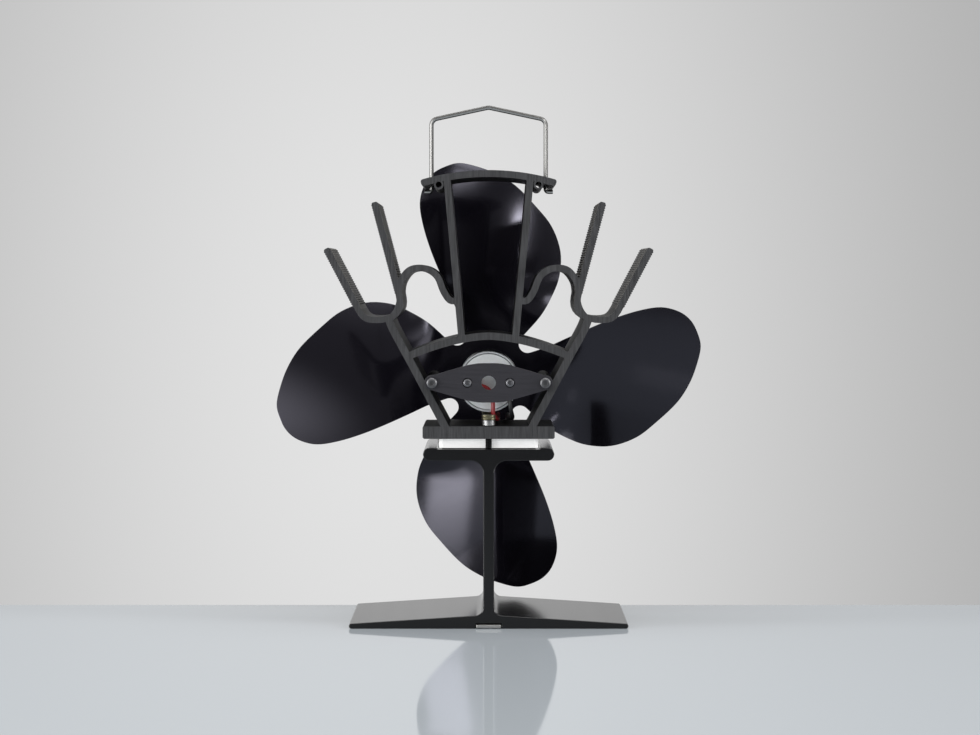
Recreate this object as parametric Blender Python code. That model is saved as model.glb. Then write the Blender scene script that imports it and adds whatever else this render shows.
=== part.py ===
"""Heat-driven stove fan: a stand and a forked heat sink clamp a thermoelectric module between
them, and the motor on the sink turns a four-blade propeller.

Metres, +Z up. +X is to the right seen from the rear, and +Y points from the rear to the blades.
The origin is the middle of the foot's underside."""

import math

import bmesh
import bpy
from mathutils import Matrix, Vector
from mathutils.geometry import interpolate_bezier

# General
CLEARANCE = 0.0003
CUT_OVERRUN = 0.002
FACET_ANGLE_DEG = 32.0

# Stand
FOOT_WIDTH = 0.119
STAND_DEPTH = 0.068
FOOT_EDGE_THICKNESS = 0.00225
FOOT_ROOT_HEIGHT = 0.0056
FOOT_FILLET_RADIUS = 0.0035
STEM_THICKNESS = 0.0046
FLANGE_UNDERSIDE_Z = 0.0716
FLANGE_WIDTH = 0.0558
FLANGE_THICKNESS = 0.0055
FLANGE_FILLET_RADIUS = 0.0055
POCKET_WIDTH = 0.0434
POCKET_DEPTH = 0.0007

# Bimetal strip and its rivet
STRIP_WIDTH = 0.0104
STRIP_THICKNESS = 0.0012
STRIP_LENGTH = 0.028
STRIP_FLOOR_GAP = 0.0004
RIVET_RADIUS = 0.0012
RIVET_HEAD_RADIUS = 0.0021
RIVET_HEAD_HEIGHT = 0.0006
RIVET_SHANK_LENGTH = 0.003
RIVET_INSET = 0.006

# Thermoelectric module
MODULE_WIDTH = 0.0402
PLATE_THICKNESS = 0.0009
PELLET_BLOCK_HEIGHT = 0.0015
PELLET_BLOCK_INSET = 0.0015
SEAL_WALL = 0.0007
SEAL_CORNER_RADIUS = 0.0012
MODULE_OFFSET_FROM_REAR = 0.0055

# Heat sink
SINK_DEPTH = 0.052
SINK_PLATE_WIDTH = 0.0561
SINK_PLATE_THICKNESS = 0.0053
SINK_PLATE_CORNER = 0.0006
ARM_THICKNESS = 0.0032
ARM_FOOT_X = 0.0186
ARM_KNEE_X = 0.0336
ARM_KNEE_RISE = 0.0282
ARM_TOP_X = 0.0403
ARM_TOP_RISE = 0.0405
ARM_FORK_X = 0.0422
ARCH_THICKNESS = 0.0031
ARCH_CROWN_RISE = 0.0383
ARCH_END_RISE = 0.0300
ARCH_SHAPE_POWER = 1.7
UPRIGHT_THICKNESS = 0.0029
UPRIGHT_BASE_X = 0.0115
UPRIGHT_TOP_X = 0.0177
TOP_PLATE_HALF_WIDTH = 0.0286
TOP_PLATE_THICKNESS = 0.0029
TOP_PLATE_CROWN_RISE = 0.1071
TOP_PLATE_END_RISE = 0.1030
TOP_PLATE_END_RADIUS = 0.0010
BEAD_RADIUS = 0.0021
BEAD_BORE_RADIUS = 0.0013
BEAD_INSET = 0.0075
BEAD_DROP_SHARE = 0.50
FIN_THICKNESS = 0.0026
FIN_TIP_RADIUS = 0.0007
INNER_FIN_TIP_X = 0.0484
INNER_FIN_TIP_RISE = 0.0950
INNER_FIN_FOOT_X = 0.0378
INNER_FIN_FOOT_RISE = 0.0550
OUTER_FIN_TIP_X = 0.0688
OUTER_FIN_TIP_RISE = 0.0754
OUTER_FIN_FOOT_X = 0.0560
OUTER_FIN_FOOT_RISE = 0.0510
FORK_BOTTOM_X = 0.0477
FORK_BOTTOM_RISE = 0.0451
FORK_BEND_SHARE = 0.50
WEB_THICKNESS = 0.0028
WEB_LOOP_X = 0.0293
WEB_LOOP_RISE = 0.0672

# Clamp bolts
CLAMP_BOLT_RADIUS = 0.00135
CLAMP_HEAD_RADIUS = 0.0030
CLAMP_HEAD_HEIGHT = 0.0019
CLAMP_SOCKET_RADIUS = 0.00125
CLAMP_SOCKET_DEPTH = 0.0011
CLAMP_BUSH_RADIUS = 0.0028
CLAMP_BUSH_HEIGHT = 0.0023
CLAMP_THREAD_DEPTH = 0.011
CLAMP_BOLT_SETBACK = 0.0029

# Motor bracket
BRACKET_THICKNESS = 0.0030
BRACKET_SCREW_X = 0.0240
BRACKET_END_RADIUS = 0.0030
BRACKET_HALF_HEIGHT = 0.0083
BRACKET_WAIST_HALF_WIDTH = 0.0045
BRACKET_SHOULDER_SHARE = 0.90
BRACKET_WAIST_SHARE = 0.99
BRACKET_HOLE_RADIUS = 0.00305
BOSS_RADIUS = 0.0033
BRACKET_SCREW_RADIUS = 0.0013
BRACKET_HEAD_RADIUS = 0.0022
BRACKET_HEAD_HEIGHT = 0.0016
BRACKET_SCREW_LENGTH = 0.0090
SCREW_RECESS_RADIUS = 0.0009
SCREW_RECESS_DEPTH = 0.0008
SCREW_CROWN_SHARE = 0.72

# Motor
AXIS_Z = 0.1048
MOTOR_SCREW_X = 0.0090
MOTOR_SCREW_RADIUS = 0.0010
MOTOR_HEAD_RADIUS = 0.0017
MOTOR_HEAD_HEIGHT = 0.0012
MOTOR_COUNTERBORE_RADIUS = 0.0021
MOTOR_COUNTERBORE_DEPTH = 0.0014
SPACER_LENGTH = 0.0090
SPACER_RADIUS = 0.0019
CAN_RADIUS = 0.0130
CAN_LENGTH = 0.0300
CAN_WALL = 0.0008
CAN_NOSE_RADIUS = 0.0036
CAN_NOSE_LENGTH = 0.0018
CAN_ROUNDING = 0.0012
CAP_THICKNESS = 0.0030
CAP_SKIRT_LENGTH = 0.0022
CAP_NOSE_RADIUS = 0.0034
CAP_NOSE_LENGTH = 0.0014
CAP_NOSE_WALL = 0.0005
BUSH_RADIUS = 0.0024
BUSH_LENGTH = 0.0028
SHAFT_RADIUS = 0.0010
SHAFT_REACH = 0.0140
MAGNET_THICKNESS = 0.0024
MAGNET_ARC_DEG = 124.0
ARMATURE_POLES = 5
ARMATURE_LENGTH = 0.0140
ARMATURE_AIR_GAP = 0.0006
ARMATURE_SLOT_WIDTH = 0.0018
ARMATURE_CORE_RADIUS = 0.0034
COMMUTATOR_RADIUS = 0.0026
COMMUTATOR_LENGTH = 0.0045
TERMINAL_X = 0.0056
TERMINAL_WIDTH = 0.0022
TERMINAL_THICKNESS = 0.0004
TERMINAL_LENGTH = 0.0040
TERMINAL_SEAT_DEPTH = 0.0015
TERMINAL_HOLE_RADIUS = 0.0006

# Propeller
PROPELLER_RADIUS = 0.0961
PROPELLER_STANDOFF = 0.0095
BLADE_COUNT = 4
BLADE_THICKNESS = 0.0010
BLADE_PITCH_DEG = 21.0
BLADE_TIP_PITCH_DEG = 15.0
BLADE_CUP = 0.0040
BLADE_TIP_CURL = 0.0042
BLADE_COLUMNS = 7
NOTCH_TURN_DEG = -6.0
NOTCH_START_DEG = 246.0
NOTCH_END_DEG = 102.0
SPINDLE_RADIUS = 0.0040
SPINDLE_FLANGE_RADIUS = 0.0070
SPINDLE_FLANGE_THICKNESS = 0.0020
SPINDLE_STUD_RADIUS = 0.0018
SPINDLE_STUD_LENGTH = 0.0052
SPINDLE_OVERLAP = 0.0100
HUB_NUT_WIDTH = 0.0070
HUB_NUT_HEIGHT = 0.0032
HUB_NUT_DOME = 0.0020

# Handle
HANDLE_WIRE_RADIUS = 0.0010
HANDLE_LEG_INSET = 0.0039
HANDLE_SHOULDER_RISE = 0.0227
HANDLE_APEX_RISE = 0.0280
HANDLE_BEND_RADIUS = 0.0030
HANDLE_HOLE_CLEARANCE = 0.0003
HANDLE_TOE_DROP = 0.0024
HANDLE_TOE_REACH = 0.0031
HANDLE_TOE_BEND_RADIUS = 0.0012
HANDLE_Y_SHARE = 0.50

# Leads
LEAD_RADIUS = 0.0009
LEAD_RISE_ABOVE_PLATE = 0.0026
RED_LEAD_RUN_X = 0.0042
BLACK_LEAD_RUN_X = 0.0084
LEAD_SPACE_BEHIND_MOTOR = 0.0025

# Way of each lead from its terminal down to the sink's plate: X, distance ahead of the space behind
# the motor, drop below the axis
RED_LEAD_WAY = ((-0.0030, 0, 0.0017), (-0.0004, 0, 0.0029), (0.0014, 0, 0.0052), (0.0019, 0, 0.0085),
                (0.0019, 0, 0.0135), (0.0034, 0.0026, 0.0160))
BLACK_LEAD_WAY = ((0.0078, 0, 0.0050), (0.0091, 0, 0.0086), (0.0095, 0.0005, 0.0120),
                  (0.0102, 0.0030, 0.0148), (0.0100, 0.0100, 0.0160))

# Middle line of the S-shaped web, from the upright over its loop to the arm, as shares of the
# loop's distance from the middle and of its rise above the sink's plate
WEB_SHARES = ((0.450, 0.794), (0.560, 0.796), (0.655, 0.855), (0.735, 0.940), (0.855, 0.985),
              (1.000, 1.000), (1.150, 0.984), (1.265, 0.920), (1.300, 0.850), (1.285, 0.790),
              (1.330, 0.730), (1.400, 0.690))

# Outline of one blade seen along the shaft, from root to tip, as shares of the propeller's radius:
# how far out, then how far to the trailing side of the blade's own axis
TRAILING_EDGE_SHARES = ((0.175, 0.151), (0.279, 0.244), (0.373, 0.300), (0.468, 0.335), (0.586, 0.340),
                        (0.704, 0.298), (0.799, 0.222), (0.894, 0.128), (0.950, 0.038), (0.983, -0.052))
TIP_SHARES = (1.000, -0.137)
LEADING_EDGE_SHARES = ((0.194, -0.108), (0.279, -0.137), (0.373, -0.180), (0.468, -0.222),
                       (0.586, -0.270), (0.704, -0.307), (0.809, -0.323), (0.894, -0.303),
                       (0.950, -0.262), (0.983, -0.204))
FLAT_ROOT_SHARE = 0.20
NOTCH_CENTRE_SHARE = 0.236
NOTCH_RADIUS_SHARE = 0.0416
FULL_PITCH_SHARE = 0.50
CURL_START_SHARE = 0.50

REAR_Y = -STAND_DEPTH / 2
SINK_FRONT_Y = REAR_Y + SINK_DEPTH
FLANGE_SEAT_Z = FLANGE_UNDERSIDE_Z + FLANGE_THICKNESS - POCKET_DEPTH
MODULE_HEIGHT = 2 * PLATE_THICKNESS + PELLET_BLOCK_HEIGHT + 2 * CLEARANCE
SINK_UNDERSIDE_Z = FLANGE_SEAT_Z + MODULE_HEIGHT + 2 * CLEARANCE
SINK_PLATE_TOP_Z = SINK_UNDERSIDE_Z + SINK_PLATE_THICKNESS
MODULE_Y = REAR_Y + MODULE_OFFSET_FROM_REAR + MODULE_WIDTH / 2
BEAD_X = TOP_PLATE_HALF_WIDTH - BEAD_INSET
HANDLE_LEG_X = TOP_PLATE_HALF_WIDTH - HANDLE_LEG_INSET


def clear_scene():
    for item in list(bpy.data.objects):
        bpy.data.objects.remove(item, do_unlink=True)


def new_material(name, color, roughness, metallic):
    material = bpy.data.materials.new(name)
    material.use_nodes = True
    shader = material.node_tree.nodes["Principled BSDF"]
    shader.inputs["Base Color"].default_value = (*color, 1.0)
    shader.inputs["Roughness"].default_value = roughness
    shader.inputs["Metallic"].default_value = metallic
    return material


def new_object(name, bm, material):
    """A mesh object from bm, with its faces turned out and its round faces smooth."""
    bmesh.ops.recalc_face_normals(bm, faces=bm.faces)
    mesh = bpy.data.meshes.new(name)
    bm.to_mesh(mesh)
    bm.free()
    mesh.shade_smooth()
    mesh.set_sharp_from_angle(angle=math.radians(FACET_ANGLE_DEG))
    obj = bpy.data.objects.new(name, mesh)
    if material:
        mesh.materials.append(material)
    bpy.context.scene.collection.objects.link(obj)
    return obj


def as_cutter(obj):
    obj.hide_render = True
    obj.display_type = "WIRE"
    return obj


def combine(target, others, operation):
    """Joins the others to the target, or cuts them out of it, all in one Boolean."""
    group = bpy.data.collections.new(f"{target.name}_{operation.lower()}")
    for other in others:
        group.objects.link(as_cutter(other))
    modifier = target.modifiers.new(operation.lower(), "BOOLEAN")
    modifier.operand_type = "COLLECTION"
    modifier.collection = group
    modifier.operation = operation
    modifier.solver = "EXACT"


def arc(centre_x, centre_z, radius, start_deg, end_deg, steps):
    """Points on an arc in the XZ plane, both ends included."""
    points = []
    for step in range(steps + 1):
        angle = math.radians(start_deg + (end_deg - start_deg) * step / steps)
        points.append((centre_x + radius * math.cos(angle), centre_z + radius * math.sin(angle)))
    return points


def mirrored(points):
    """The same outline on the other side of X = 0, in the order that carries on from it."""
    return [(-x, z) for x, z in reversed(points)]


def smooth_curve(knots, steps):
    """Points along a curve that passes through the knots without a corner."""
    padded = [knots[0]] + list(knots) + [knots[-1]]
    points = []
    for index in range(len(knots) - 1):
        before, start, end, after = (Vector(p) for p in padded[index:index + 4])
        for step in range(steps):
            t = step / steps
            leave = (end - before) / 2
            arrive = (after - start) / 2
            points.append(start * (2 * t ** 3 - 3 * t ** 2 + 1) + leave * (t ** 3 - 2 * t ** 2 + t)
                          + end * (3 * t ** 2 - 2 * t ** 3) + arrive * (t ** 3 - t ** 2))
    points.append(Vector(knots[-1]))
    return points


def rounded_corner(before, corner, after, radius, steps):
    """Points of the arc that rounds a corner between two straight runs."""
    a = (before - corner).normalized()
    b = (after - corner).normalized()
    half_angle = a.angle(b) / 2
    setback = radius / math.tan(half_angle)
    centre = corner + (a + b).normalized() * radius / math.sin(half_angle)
    start = corner + a * setback - centre
    end = corner + b * setback - centre
    sweep = start.angle(end)
    points = []
    for step in range(steps + 1):
        share = step / steps
        blend = start * math.sin(sweep * (1 - share)) + end * math.sin(sweep * share)
        points.append(centre + blend / math.sin(sweep))
    return points


def bend(before, start, end, after, steps, level_start=False):
    """Points on a curve from start to end. It leaves start along the run from before, or level, and
    arrives at end along the run to after."""
    before, start, end, after = (Vector(point) for point in (before, start, end, after))
    reach = (end - start).length * FORK_BEND_SHARE
    leave = Vector((end.x - start.x, 0)) if level_start else start - before
    first = start + leave.normalized() * reach
    second = end - (after - end).normalized() * reach
    return [Vector(point[:2]) for point in interpolate_bezier(start, first, second, end, steps + 1)]


def extrusion(name, outline, rear, front, material=None):
    """A straight bar from Y = rear to Y = front with the given XZ outline."""
    bm = bmesh.new()
    ring = [bm.verts.new((x, rear, z)) for x, z in outline]
    face = bm.faces.new(ring)
    moved = bmesh.ops.extrude_face_region(bm, geom=[face])["geom"]
    ends = [item for item in moved if isinstance(item, bmesh.types.BMVert)]
    bmesh.ops.translate(bm, verts=ends, vec=(0, front - rear, 0))
    return new_object(name, bm, material)


def rib(name, centre_line, thickness, rear, front, end_radius=0):
    """An extruded web that follows a line of points in XZ. With end_radius its free ends are rounded."""
    line = [Vector(point) for point in centre_line]
    left, right = [], []
    for index, point in enumerate(line):
        along = line[min(index + 1, len(line) - 1)] - line[max(index - 1, 0)]
        across = Vector((-along.y, along.x)).normalized()
        left.append(point + across * thickness / 2)
        right.append(point - across * thickness / 2)
    if end_radius:
        start = rounded_corner(right[0], left[0], left[1], end_radius, 3)
        start_below = rounded_corner(right[1], right[0], left[0], end_radius, 3)
        end = rounded_corner(left[-2], left[-1], right[-1], end_radius, 3)
        end_below = rounded_corner(left[-1], right[-1], right[-2], end_radius, 3)
        left = start + left[1:-1] + end
        right = start_below[::-1] + right[1:-1] + end_below[::-1]
    return extrusion(name, left + right[::-1], rear, front)


def turned(name, profile, axis_x, axis_z, material=None, segments=32):
    """A solid turned about a line along Y. The profile is (radius, Y) from one end to the other:
    it starts and ends on the axis, or is a closed ring round a bore."""
    bm = bmesh.new()
    rings = []
    for radius, y in profile:
        if radius == 0:
            rings.append([bm.verts.new((axis_x, y, axis_z))])
            continue
        ring = []
        for step in range(segments):
            turn = math.tau * step / segments
            x = axis_x + radius * math.cos(turn)
            z = axis_z + radius * math.sin(turn)
            ring.append(bm.verts.new((x, y, z)))
        rings.append(ring)
    pairs = list(zip(rings, rings[1:]))
    if profile[0][0] > 0:
        pairs.append((rings[-1], rings[0]))
    for first, second in pairs:
        for step in range(segments):
            after = (step + 1) % segments
            corners = [first[step % len(first)], first[after % len(first)],
                       second[after % len(second)], second[step % len(second)]]
            bm.faces.new(list(dict.fromkeys(corners)))
    return new_object(name, bm, material)


def stand_upright(obj, centre):
    """Turns a piece made along Y about the origin so that it points up, and moves it to centre."""
    obj.rotation_euler = (math.radians(90), 0, 0)
    obj.location = centre
    return obj


def box(name, low, high, material=None):
    bm = bmesh.new()
    bmesh.ops.create_cube(bm, size=1)
    middle = [(a + b) / 2 for a, b in zip(low, high)]
    size = [b - a for a, b in zip(low, high)]
    bmesh.ops.scale(bm, verts=bm.verts, vec=size)
    bmesh.ops.translate(bm, verts=bm.verts, vec=middle)
    return new_object(name, bm, material)


def drill(name, radius, low, high, segments=24):
    """A round cutter from one point to another, which differ along Y or along Z."""
    if low[1] != high[1]:
        profile = [(0, low[1]), (radius, low[1]), (radius, high[1]), (0, high[1])]
        return turned(name, profile, low[0], low[2], segments=segments)
    length = high[2] - low[2]
    profile = [(0, 0), (radius, 0), (radius, length), (0, length)]
    return stand_upright(turned(name, profile, 0, 0, segments=segments), low)


def wire(name, points, radius, material, resolution=3):
    """A round wire through the points, with flat closed ends."""
    curve = bpy.data.curves.new(name, "CURVE")
    curve.dimensions = "3D"
    curve.bevel_depth = radius
    curve.bevel_resolution = resolution
    curve.use_fill_caps = True
    spline = curve.splines.new("POLY")
    spline.points.add(len(points) - 1)
    for point, place in zip(spline.points, points):
        point.co = (*place, 1)
    curve.materials.append(material)
    obj = bpy.data.objects.new(name, curve)
    bpy.context.scene.collection.objects.link(obj)
    return obj


def build_stand(material):
    """One extrusion: sloped foot, stem and flange, with a pocket in its top for the module."""
    edge_radius = FOOT_EDGE_THICKNESS / 2
    foot_end = FOOT_WIDTH / 2 - edge_radius
    stem_face = STEM_THICKNESS / 2
    flange_end = FLANGE_WIDTH / 2
    flange_radius = FLANGE_THICKNESS / 2
    flange_top = FLANGE_UNDERSIDE_Z + FLANGE_THICKNESS
    right = arc(foot_end, edge_radius, edge_radius, -90, 75, 6)
    right += arc(stem_face + FOOT_FILLET_RADIUS, FOOT_ROOT_HEIGHT + FOOT_FILLET_RADIUS,
                 FOOT_FILLET_RADIUS, -94, -180, 8)
    right += arc(stem_face + FLANGE_FILLET_RADIUS, FLANGE_UNDERSIDE_Z - FLANGE_FILLET_RADIUS,
                 FLANGE_FILLET_RADIUS, 180, 90, 10)
    right += arc(flange_end - flange_radius, FLANGE_UNDERSIDE_Z + flange_radius, flange_radius, -90, 90, 10)
    right += [(POCKET_WIDTH / 2, flange_top), (POCKET_WIDTH / 2, FLANGE_SEAT_Z)]
    stand = extrusion("stand", right + mirrored(right), REAR_Y, -REAR_Y, material)
    slot_height = STRIP_FLOOR_GAP + STRIP_THICKNESS + RIVET_HEAD_HEIGHT
    slot_half_width = STRIP_WIDTH / 2 + CLEARANCE
    slot = box("strip_slot", (-slot_half_width, REAR_Y - CUT_OVERRUN, -CUT_OVERRUN),
               (slot_half_width, REAR_Y + STRIP_LENGTH + CLEARANCE, slot_height))
    rivet_y = REAR_Y + STRIP_LENGTH - RIVET_INSET
    cutters = [slot, drill("rivet_hole", RIVET_RADIUS + CLEARANCE, (0, rivet_y, 0),
                           (0, rivet_y, slot_height + RIVET_SHANK_LENGTH + CLEARANCE))]
    for place, y in clamp_bolt_places():
        cutters.append(drill(f"stand_hole_{place}", CLAMP_BOLT_RADIUS + CLEARANCE,
                             (0, y, FLANGE_SEAT_Z - CLAMP_THREAD_DEPTH - CLEARANCE),
                             (0, y, flange_top + CUT_OVERRUN)))
    combine(stand, cutters, "DIFFERENCE")


def clamp_bolt_places():
    """The two bolts stand before and behind the module, on the middle line."""
    return (("rear", REAR_Y + CLAMP_BOLT_SETBACK), ("front", SINK_FRONT_Y - CLAMP_BOLT_SETBACK))


def build_bimetal_strip(strip_material, rivet_material):
    low = (-STRIP_WIDTH / 2, REAR_Y, STRIP_FLOOR_GAP)
    high = (STRIP_WIDTH / 2, REAR_Y + STRIP_LENGTH, STRIP_FLOOR_GAP + STRIP_THICKNESS)
    strip = box("bimetal_strip", low, high, strip_material)
    rivet_y = high[1] - RIVET_INSET
    hole = drill("strip_hole", RIVET_RADIUS + CLEARANCE, (0, rivet_y, -CUT_OVERRUN),
                 (0, rivet_y, high[2] + CUT_OVERRUN))
    sink = drill("strip_recess", RIVET_HEAD_RADIUS + CLEARANCE, (0, rivet_y, -CUT_OVERRUN),
                 (0, rivet_y, STRIP_FLOOR_GAP + RIVET_HEAD_HEIGHT))
    combine(strip, [hole, sink], "DIFFERENCE")
    head_top = STRIP_FLOOR_GAP + RIVET_HEAD_HEIGHT - CLEARANCE
    shank_top = high[2] + RIVET_HEAD_HEIGHT + RIVET_SHANK_LENGTH
    profile = [(0, CLEARANCE), (RIVET_HEAD_RADIUS, CLEARANCE), (RIVET_HEAD_RADIUS, head_top),
               (RIVET_RADIUS, head_top), (RIVET_RADIUS, shank_top), (0, shank_top)]
    stand_upright(turned("strip_rivet", profile, 0, 0, rivet_material, 24), (0, rivet_y, 0))


def rounded_square(half, radius, steps=4):
    inner = half - radius
    points = []
    for x, y, start in ((inner, inner, 0), (-inner, inner, 90), (-inner, -inner, 180), (inner, -inner, 270)):
        points += arc(x, y, radius, start, start + 90, steps)
    return points


def flat_slab(name, outline, low, high, material=None):
    """A level slab between Z = low and Z = high, its XY outline centred on the module."""
    bm = bmesh.new()
    ring = [bm.verts.new((x, MODULE_Y + y, low)) for x, y in outline]
    face = bm.faces.new(ring)
    moved = bmesh.ops.extrude_face_region(bm, geom=[face])["geom"]
    ends = [item for item in moved if isinstance(item, bmesh.types.BMVert)]
    bmesh.ops.translate(bm, verts=ends, vec=(0, 0, high - low))
    return new_object(name, bm, material)


def build_module(ceramic, pellets, seal_material):
    """Two ceramic plates with the pellets between them, and a seal round all three."""
    half = MODULE_WIDTH / 2
    corner = SEAL_CORNER_RADIUS
    layers = (("module_hot_plate", 0, PLATE_THICKNESS, ceramic),
              ("module_pellets", PELLET_BLOCK_INSET, PELLET_BLOCK_HEIGHT, pellets),
              ("module_cold_plate", 0, PLATE_THICKNESS, ceramic))
    z = FLANGE_SEAT_Z + CLEARANCE
    for name, inset, height, material in layers:
        flat_slab(name, rounded_square(half - inset, corner), z, z + height, material)
        z += height + CLEARANCE
    low = FLANGE_SEAT_Z + CLEARANCE
    high = SINK_UNDERSIDE_Z - CLEARANCE
    bore = half + CLEARANCE
    seal = flat_slab("module_seal", rounded_square(bore + SEAL_WALL, corner + SEAL_WALL), low, high,
                     seal_material)
    core = flat_slab("seal_core", rounded_square(bore, corner), low - CUT_OVERRUN, high + CUT_OVERRUN)
    combine(seal, [core], "DIFFERENCE")


def top_plate_z(x):
    """Height of the middle of the curved top plate at a place across it."""
    sag = TOP_PLATE_CROWN_RISE - TOP_PLATE_END_RISE
    return SINK_PLATE_TOP_Z + TOP_PLATE_CROWN_RISE - sag * (x / TOP_PLATE_HALF_WIDTH) ** 2


def arch_line(half_width, steps):
    sag = ARCH_CROWN_RISE - ARCH_END_RISE
    line = []
    for step in range(steps + 1):
        share = 2 * step / steps - 1
        rise = ARCH_CROWN_RISE - sag * abs(share) ** ARCH_SHAPE_POWER
        line.append((share * half_width, SINK_PLATE_TOP_Z + rise))
    return line


def side_lines(side):
    """Centre lines of the webs on one side of the sink, as (name, points, thickness, end radius)."""
    def at(x, rise):
        return (side * x, SINK_PLATE_TOP_Z + rise)

    splay = (ARM_KNEE_X - ARM_FOOT_X) / ARM_KNEE_RISE
    root = SINK_PLATE_THICKNESS / 2
    arm = [at(ARM_FOOT_X - splay * root, -root), at(ARM_KNEE_X, ARM_KNEE_RISE)]
    arm += smooth_curve([at(ARM_KNEE_X, ARM_KNEE_RISE), at(ARM_TOP_X, ARM_TOP_RISE),
                         at(ARM_FORK_X, FORK_BOTTOM_RISE)], 6)[1:]
    inner_tip = at(INNER_FIN_TIP_X, INNER_FIN_TIP_RISE)
    inner_foot = at(INNER_FIN_FOOT_X, INNER_FIN_FOOT_RISE)
    bottom = at(FORK_BOTTOM_X, FORK_BOTTOM_RISE)
    beyond = at(FORK_BOTTOM_X + FIN_THICKNESS, FORK_BOTTOM_RISE)
    outer_foot = at(OUTER_FIN_FOOT_X, OUTER_FIN_FOOT_RISE)
    outer_tip = at(OUTER_FIN_TIP_X, OUTER_FIN_TIP_RISE)
    fork = [inner_tip] + bend(inner_tip, inner_foot, bottom, beyond, 8)
    fork += bend(inner_foot, bottom, outer_foot, outer_tip, 6, level_start=True)[1:] + [outer_tip]
    web = smooth_curve([at(WEB_LOOP_X * x, WEB_LOOP_RISE * rise) for x, rise in WEB_SHARES], 4)
    upright = [at(UPRIGHT_BASE_X, ARCH_CROWN_RISE),
               (side * UPRIGHT_TOP_X, top_plate_z(UPRIGHT_TOP_X))]
    return (("arm", arm, ARM_THICKNESS, 0), ("fork", fork, FIN_THICKNESS, FIN_TIP_RADIUS),
            ("web", web, WEB_THICKNESS, 0), ("upright", upright, UPRIGHT_THICKNESS, 0))


def build_heat_sink(material):
    """One extrusion. Its webs are drawn as centre lines with a thickness and joined to the base plate."""
    half = SINK_PLATE_WIDTH / 2
    c = SINK_PLATE_CORNER
    right = [(half - c, SINK_UNDERSIDE_Z), (half, SINK_UNDERSIDE_Z + c),
             (half, SINK_PLATE_TOP_Z - c), (half - c, SINK_PLATE_TOP_Z)]
    sink = extrusion("heat_sink", right + mirrored(right), REAR_Y, SINK_FRONT_Y, material)
    webs = [rib("sink_arch", arch_line(ARM_KNEE_X, 24), ARCH_THICKNESS, REAR_Y, SINK_FRONT_Y)]
    steps = 20
    top_line = []
    for step in range(steps + 1):
        x = TOP_PLATE_HALF_WIDTH * (2 * step / steps - 1)
        top_line.append((x, top_plate_z(x)))
    webs.append(rib("sink_top", top_line, TOP_PLATE_THICKNESS, REAR_Y, SINK_FRONT_Y, TOP_PLATE_END_RADIUS))
    cutters = []
    for side, word in ((-1, "left"), (1, "right")):
        for name, line, thickness, end_radius in side_lines(side):
            webs.append(rib(f"sink_{name}_{word}", line, thickness, REAR_Y, SINK_FRONT_Y, end_radius))
        bead_z = top_plate_z(BEAD_X) - TOP_PLATE_THICKNESS / 2 - BEAD_RADIUS * BEAD_DROP_SHARE
        webs.append(drill(f"sink_bead_{word}", BEAD_RADIUS, (side * BEAD_X, REAR_Y, bead_z),
                          (side * BEAD_X, SINK_FRONT_Y, bead_z), 20))
        cutters.append(drill(f"bead_bore_{word}", BEAD_BORE_RADIUS,
                             (side * BEAD_X, REAR_Y - CUT_OVERRUN, bead_z),
                             (side * BEAD_X, SINK_FRONT_Y + CUT_OVERRUN, bead_z), 16))
        webs.append(drill(f"sink_boss_{word}", BOSS_RADIUS, (side * BRACKET_SCREW_X, REAR_Y, AXIS_Z),
                          (side * BRACKET_SCREW_X, SINK_FRONT_Y, AXIS_Z), 20))
        cutters.append(drill(f"boss_hole_{word}", BRACKET_SCREW_RADIUS + CLEARANCE,
                             (side * BRACKET_SCREW_X, REAR_Y - CUT_OVERRUN, AXIS_Z),
                             (side * BRACKET_SCREW_X, REAR_Y + BRACKET_SCREW_LENGTH, AXIS_Z)))
        hole_z = top_plate_z(HANDLE_LEG_X)
        cutters.append(drill(f"handle_hole_{word}", HANDLE_WIRE_RADIUS + HANDLE_HOLE_CLEARANCE,
                             (side * HANDLE_LEG_X, handle_y(), hole_z - 2 * TOP_PLATE_THICKNESS),
                             (side * HANDLE_LEG_X, handle_y(), hole_z + 2 * TOP_PLATE_THICKNESS)))
    for place, y in clamp_bolt_places():
        cutters.append(drill(f"sink_hole_{place}", CLAMP_BOLT_RADIUS + CLEARANCE,
                             (0, y, SINK_UNDERSIDE_Z - CUT_OVERRUN), (0, y, SINK_PLATE_TOP_Z + CUT_OVERRUN)))
    combine(sink, webs, "UNION")
    combine(sink, cutters, "DIFFERENCE")


def handle_y():
    return REAR_Y + SINK_DEPTH * HANDLE_Y_SHARE


def build_clamp_bolts(bolt_material, bush_material):
    """Each bolt stands on a steel bush and runs down through the sink into the stem."""
    bush_low = SINK_PLATE_TOP_Z + CLEARANCE
    bush_high = bush_low + CLAMP_BUSH_HEIGHT
    head_low = bush_high + CLEARANCE
    head_high = head_low + CLAMP_HEAD_HEIGHT
    tip = FLANGE_SEAT_Z - CLAMP_THREAD_DEPTH
    bore = CLAMP_BOLT_RADIUS + CLEARANCE
    for place, y in clamp_bolt_places():
        profile = [(bore, bush_low), (CLAMP_BUSH_RADIUS, bush_low), (CLAMP_BUSH_RADIUS, bush_high),
                   (bore, bush_high)]
        stand_upright(turned(f"clamp_bush_{place}", profile, 0, 0, bush_material, 24), (0, y, 0))
        socket = head_high - CLAMP_SOCKET_DEPTH
        profile = [(0, tip), (CLAMP_BOLT_RADIUS, tip), (CLAMP_BOLT_RADIUS, head_low),
                   (CLAMP_HEAD_RADIUS, head_low), (CLAMP_HEAD_RADIUS, head_high),
                   (CLAMP_SOCKET_RADIUS, head_high), (CLAMP_SOCKET_RADIUS, socket), (0, socket)]
        stand_upright(turned(f"clamp_bolt_{place}", profile, 0, 0, bolt_material, 24), (0, y, 0))


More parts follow.
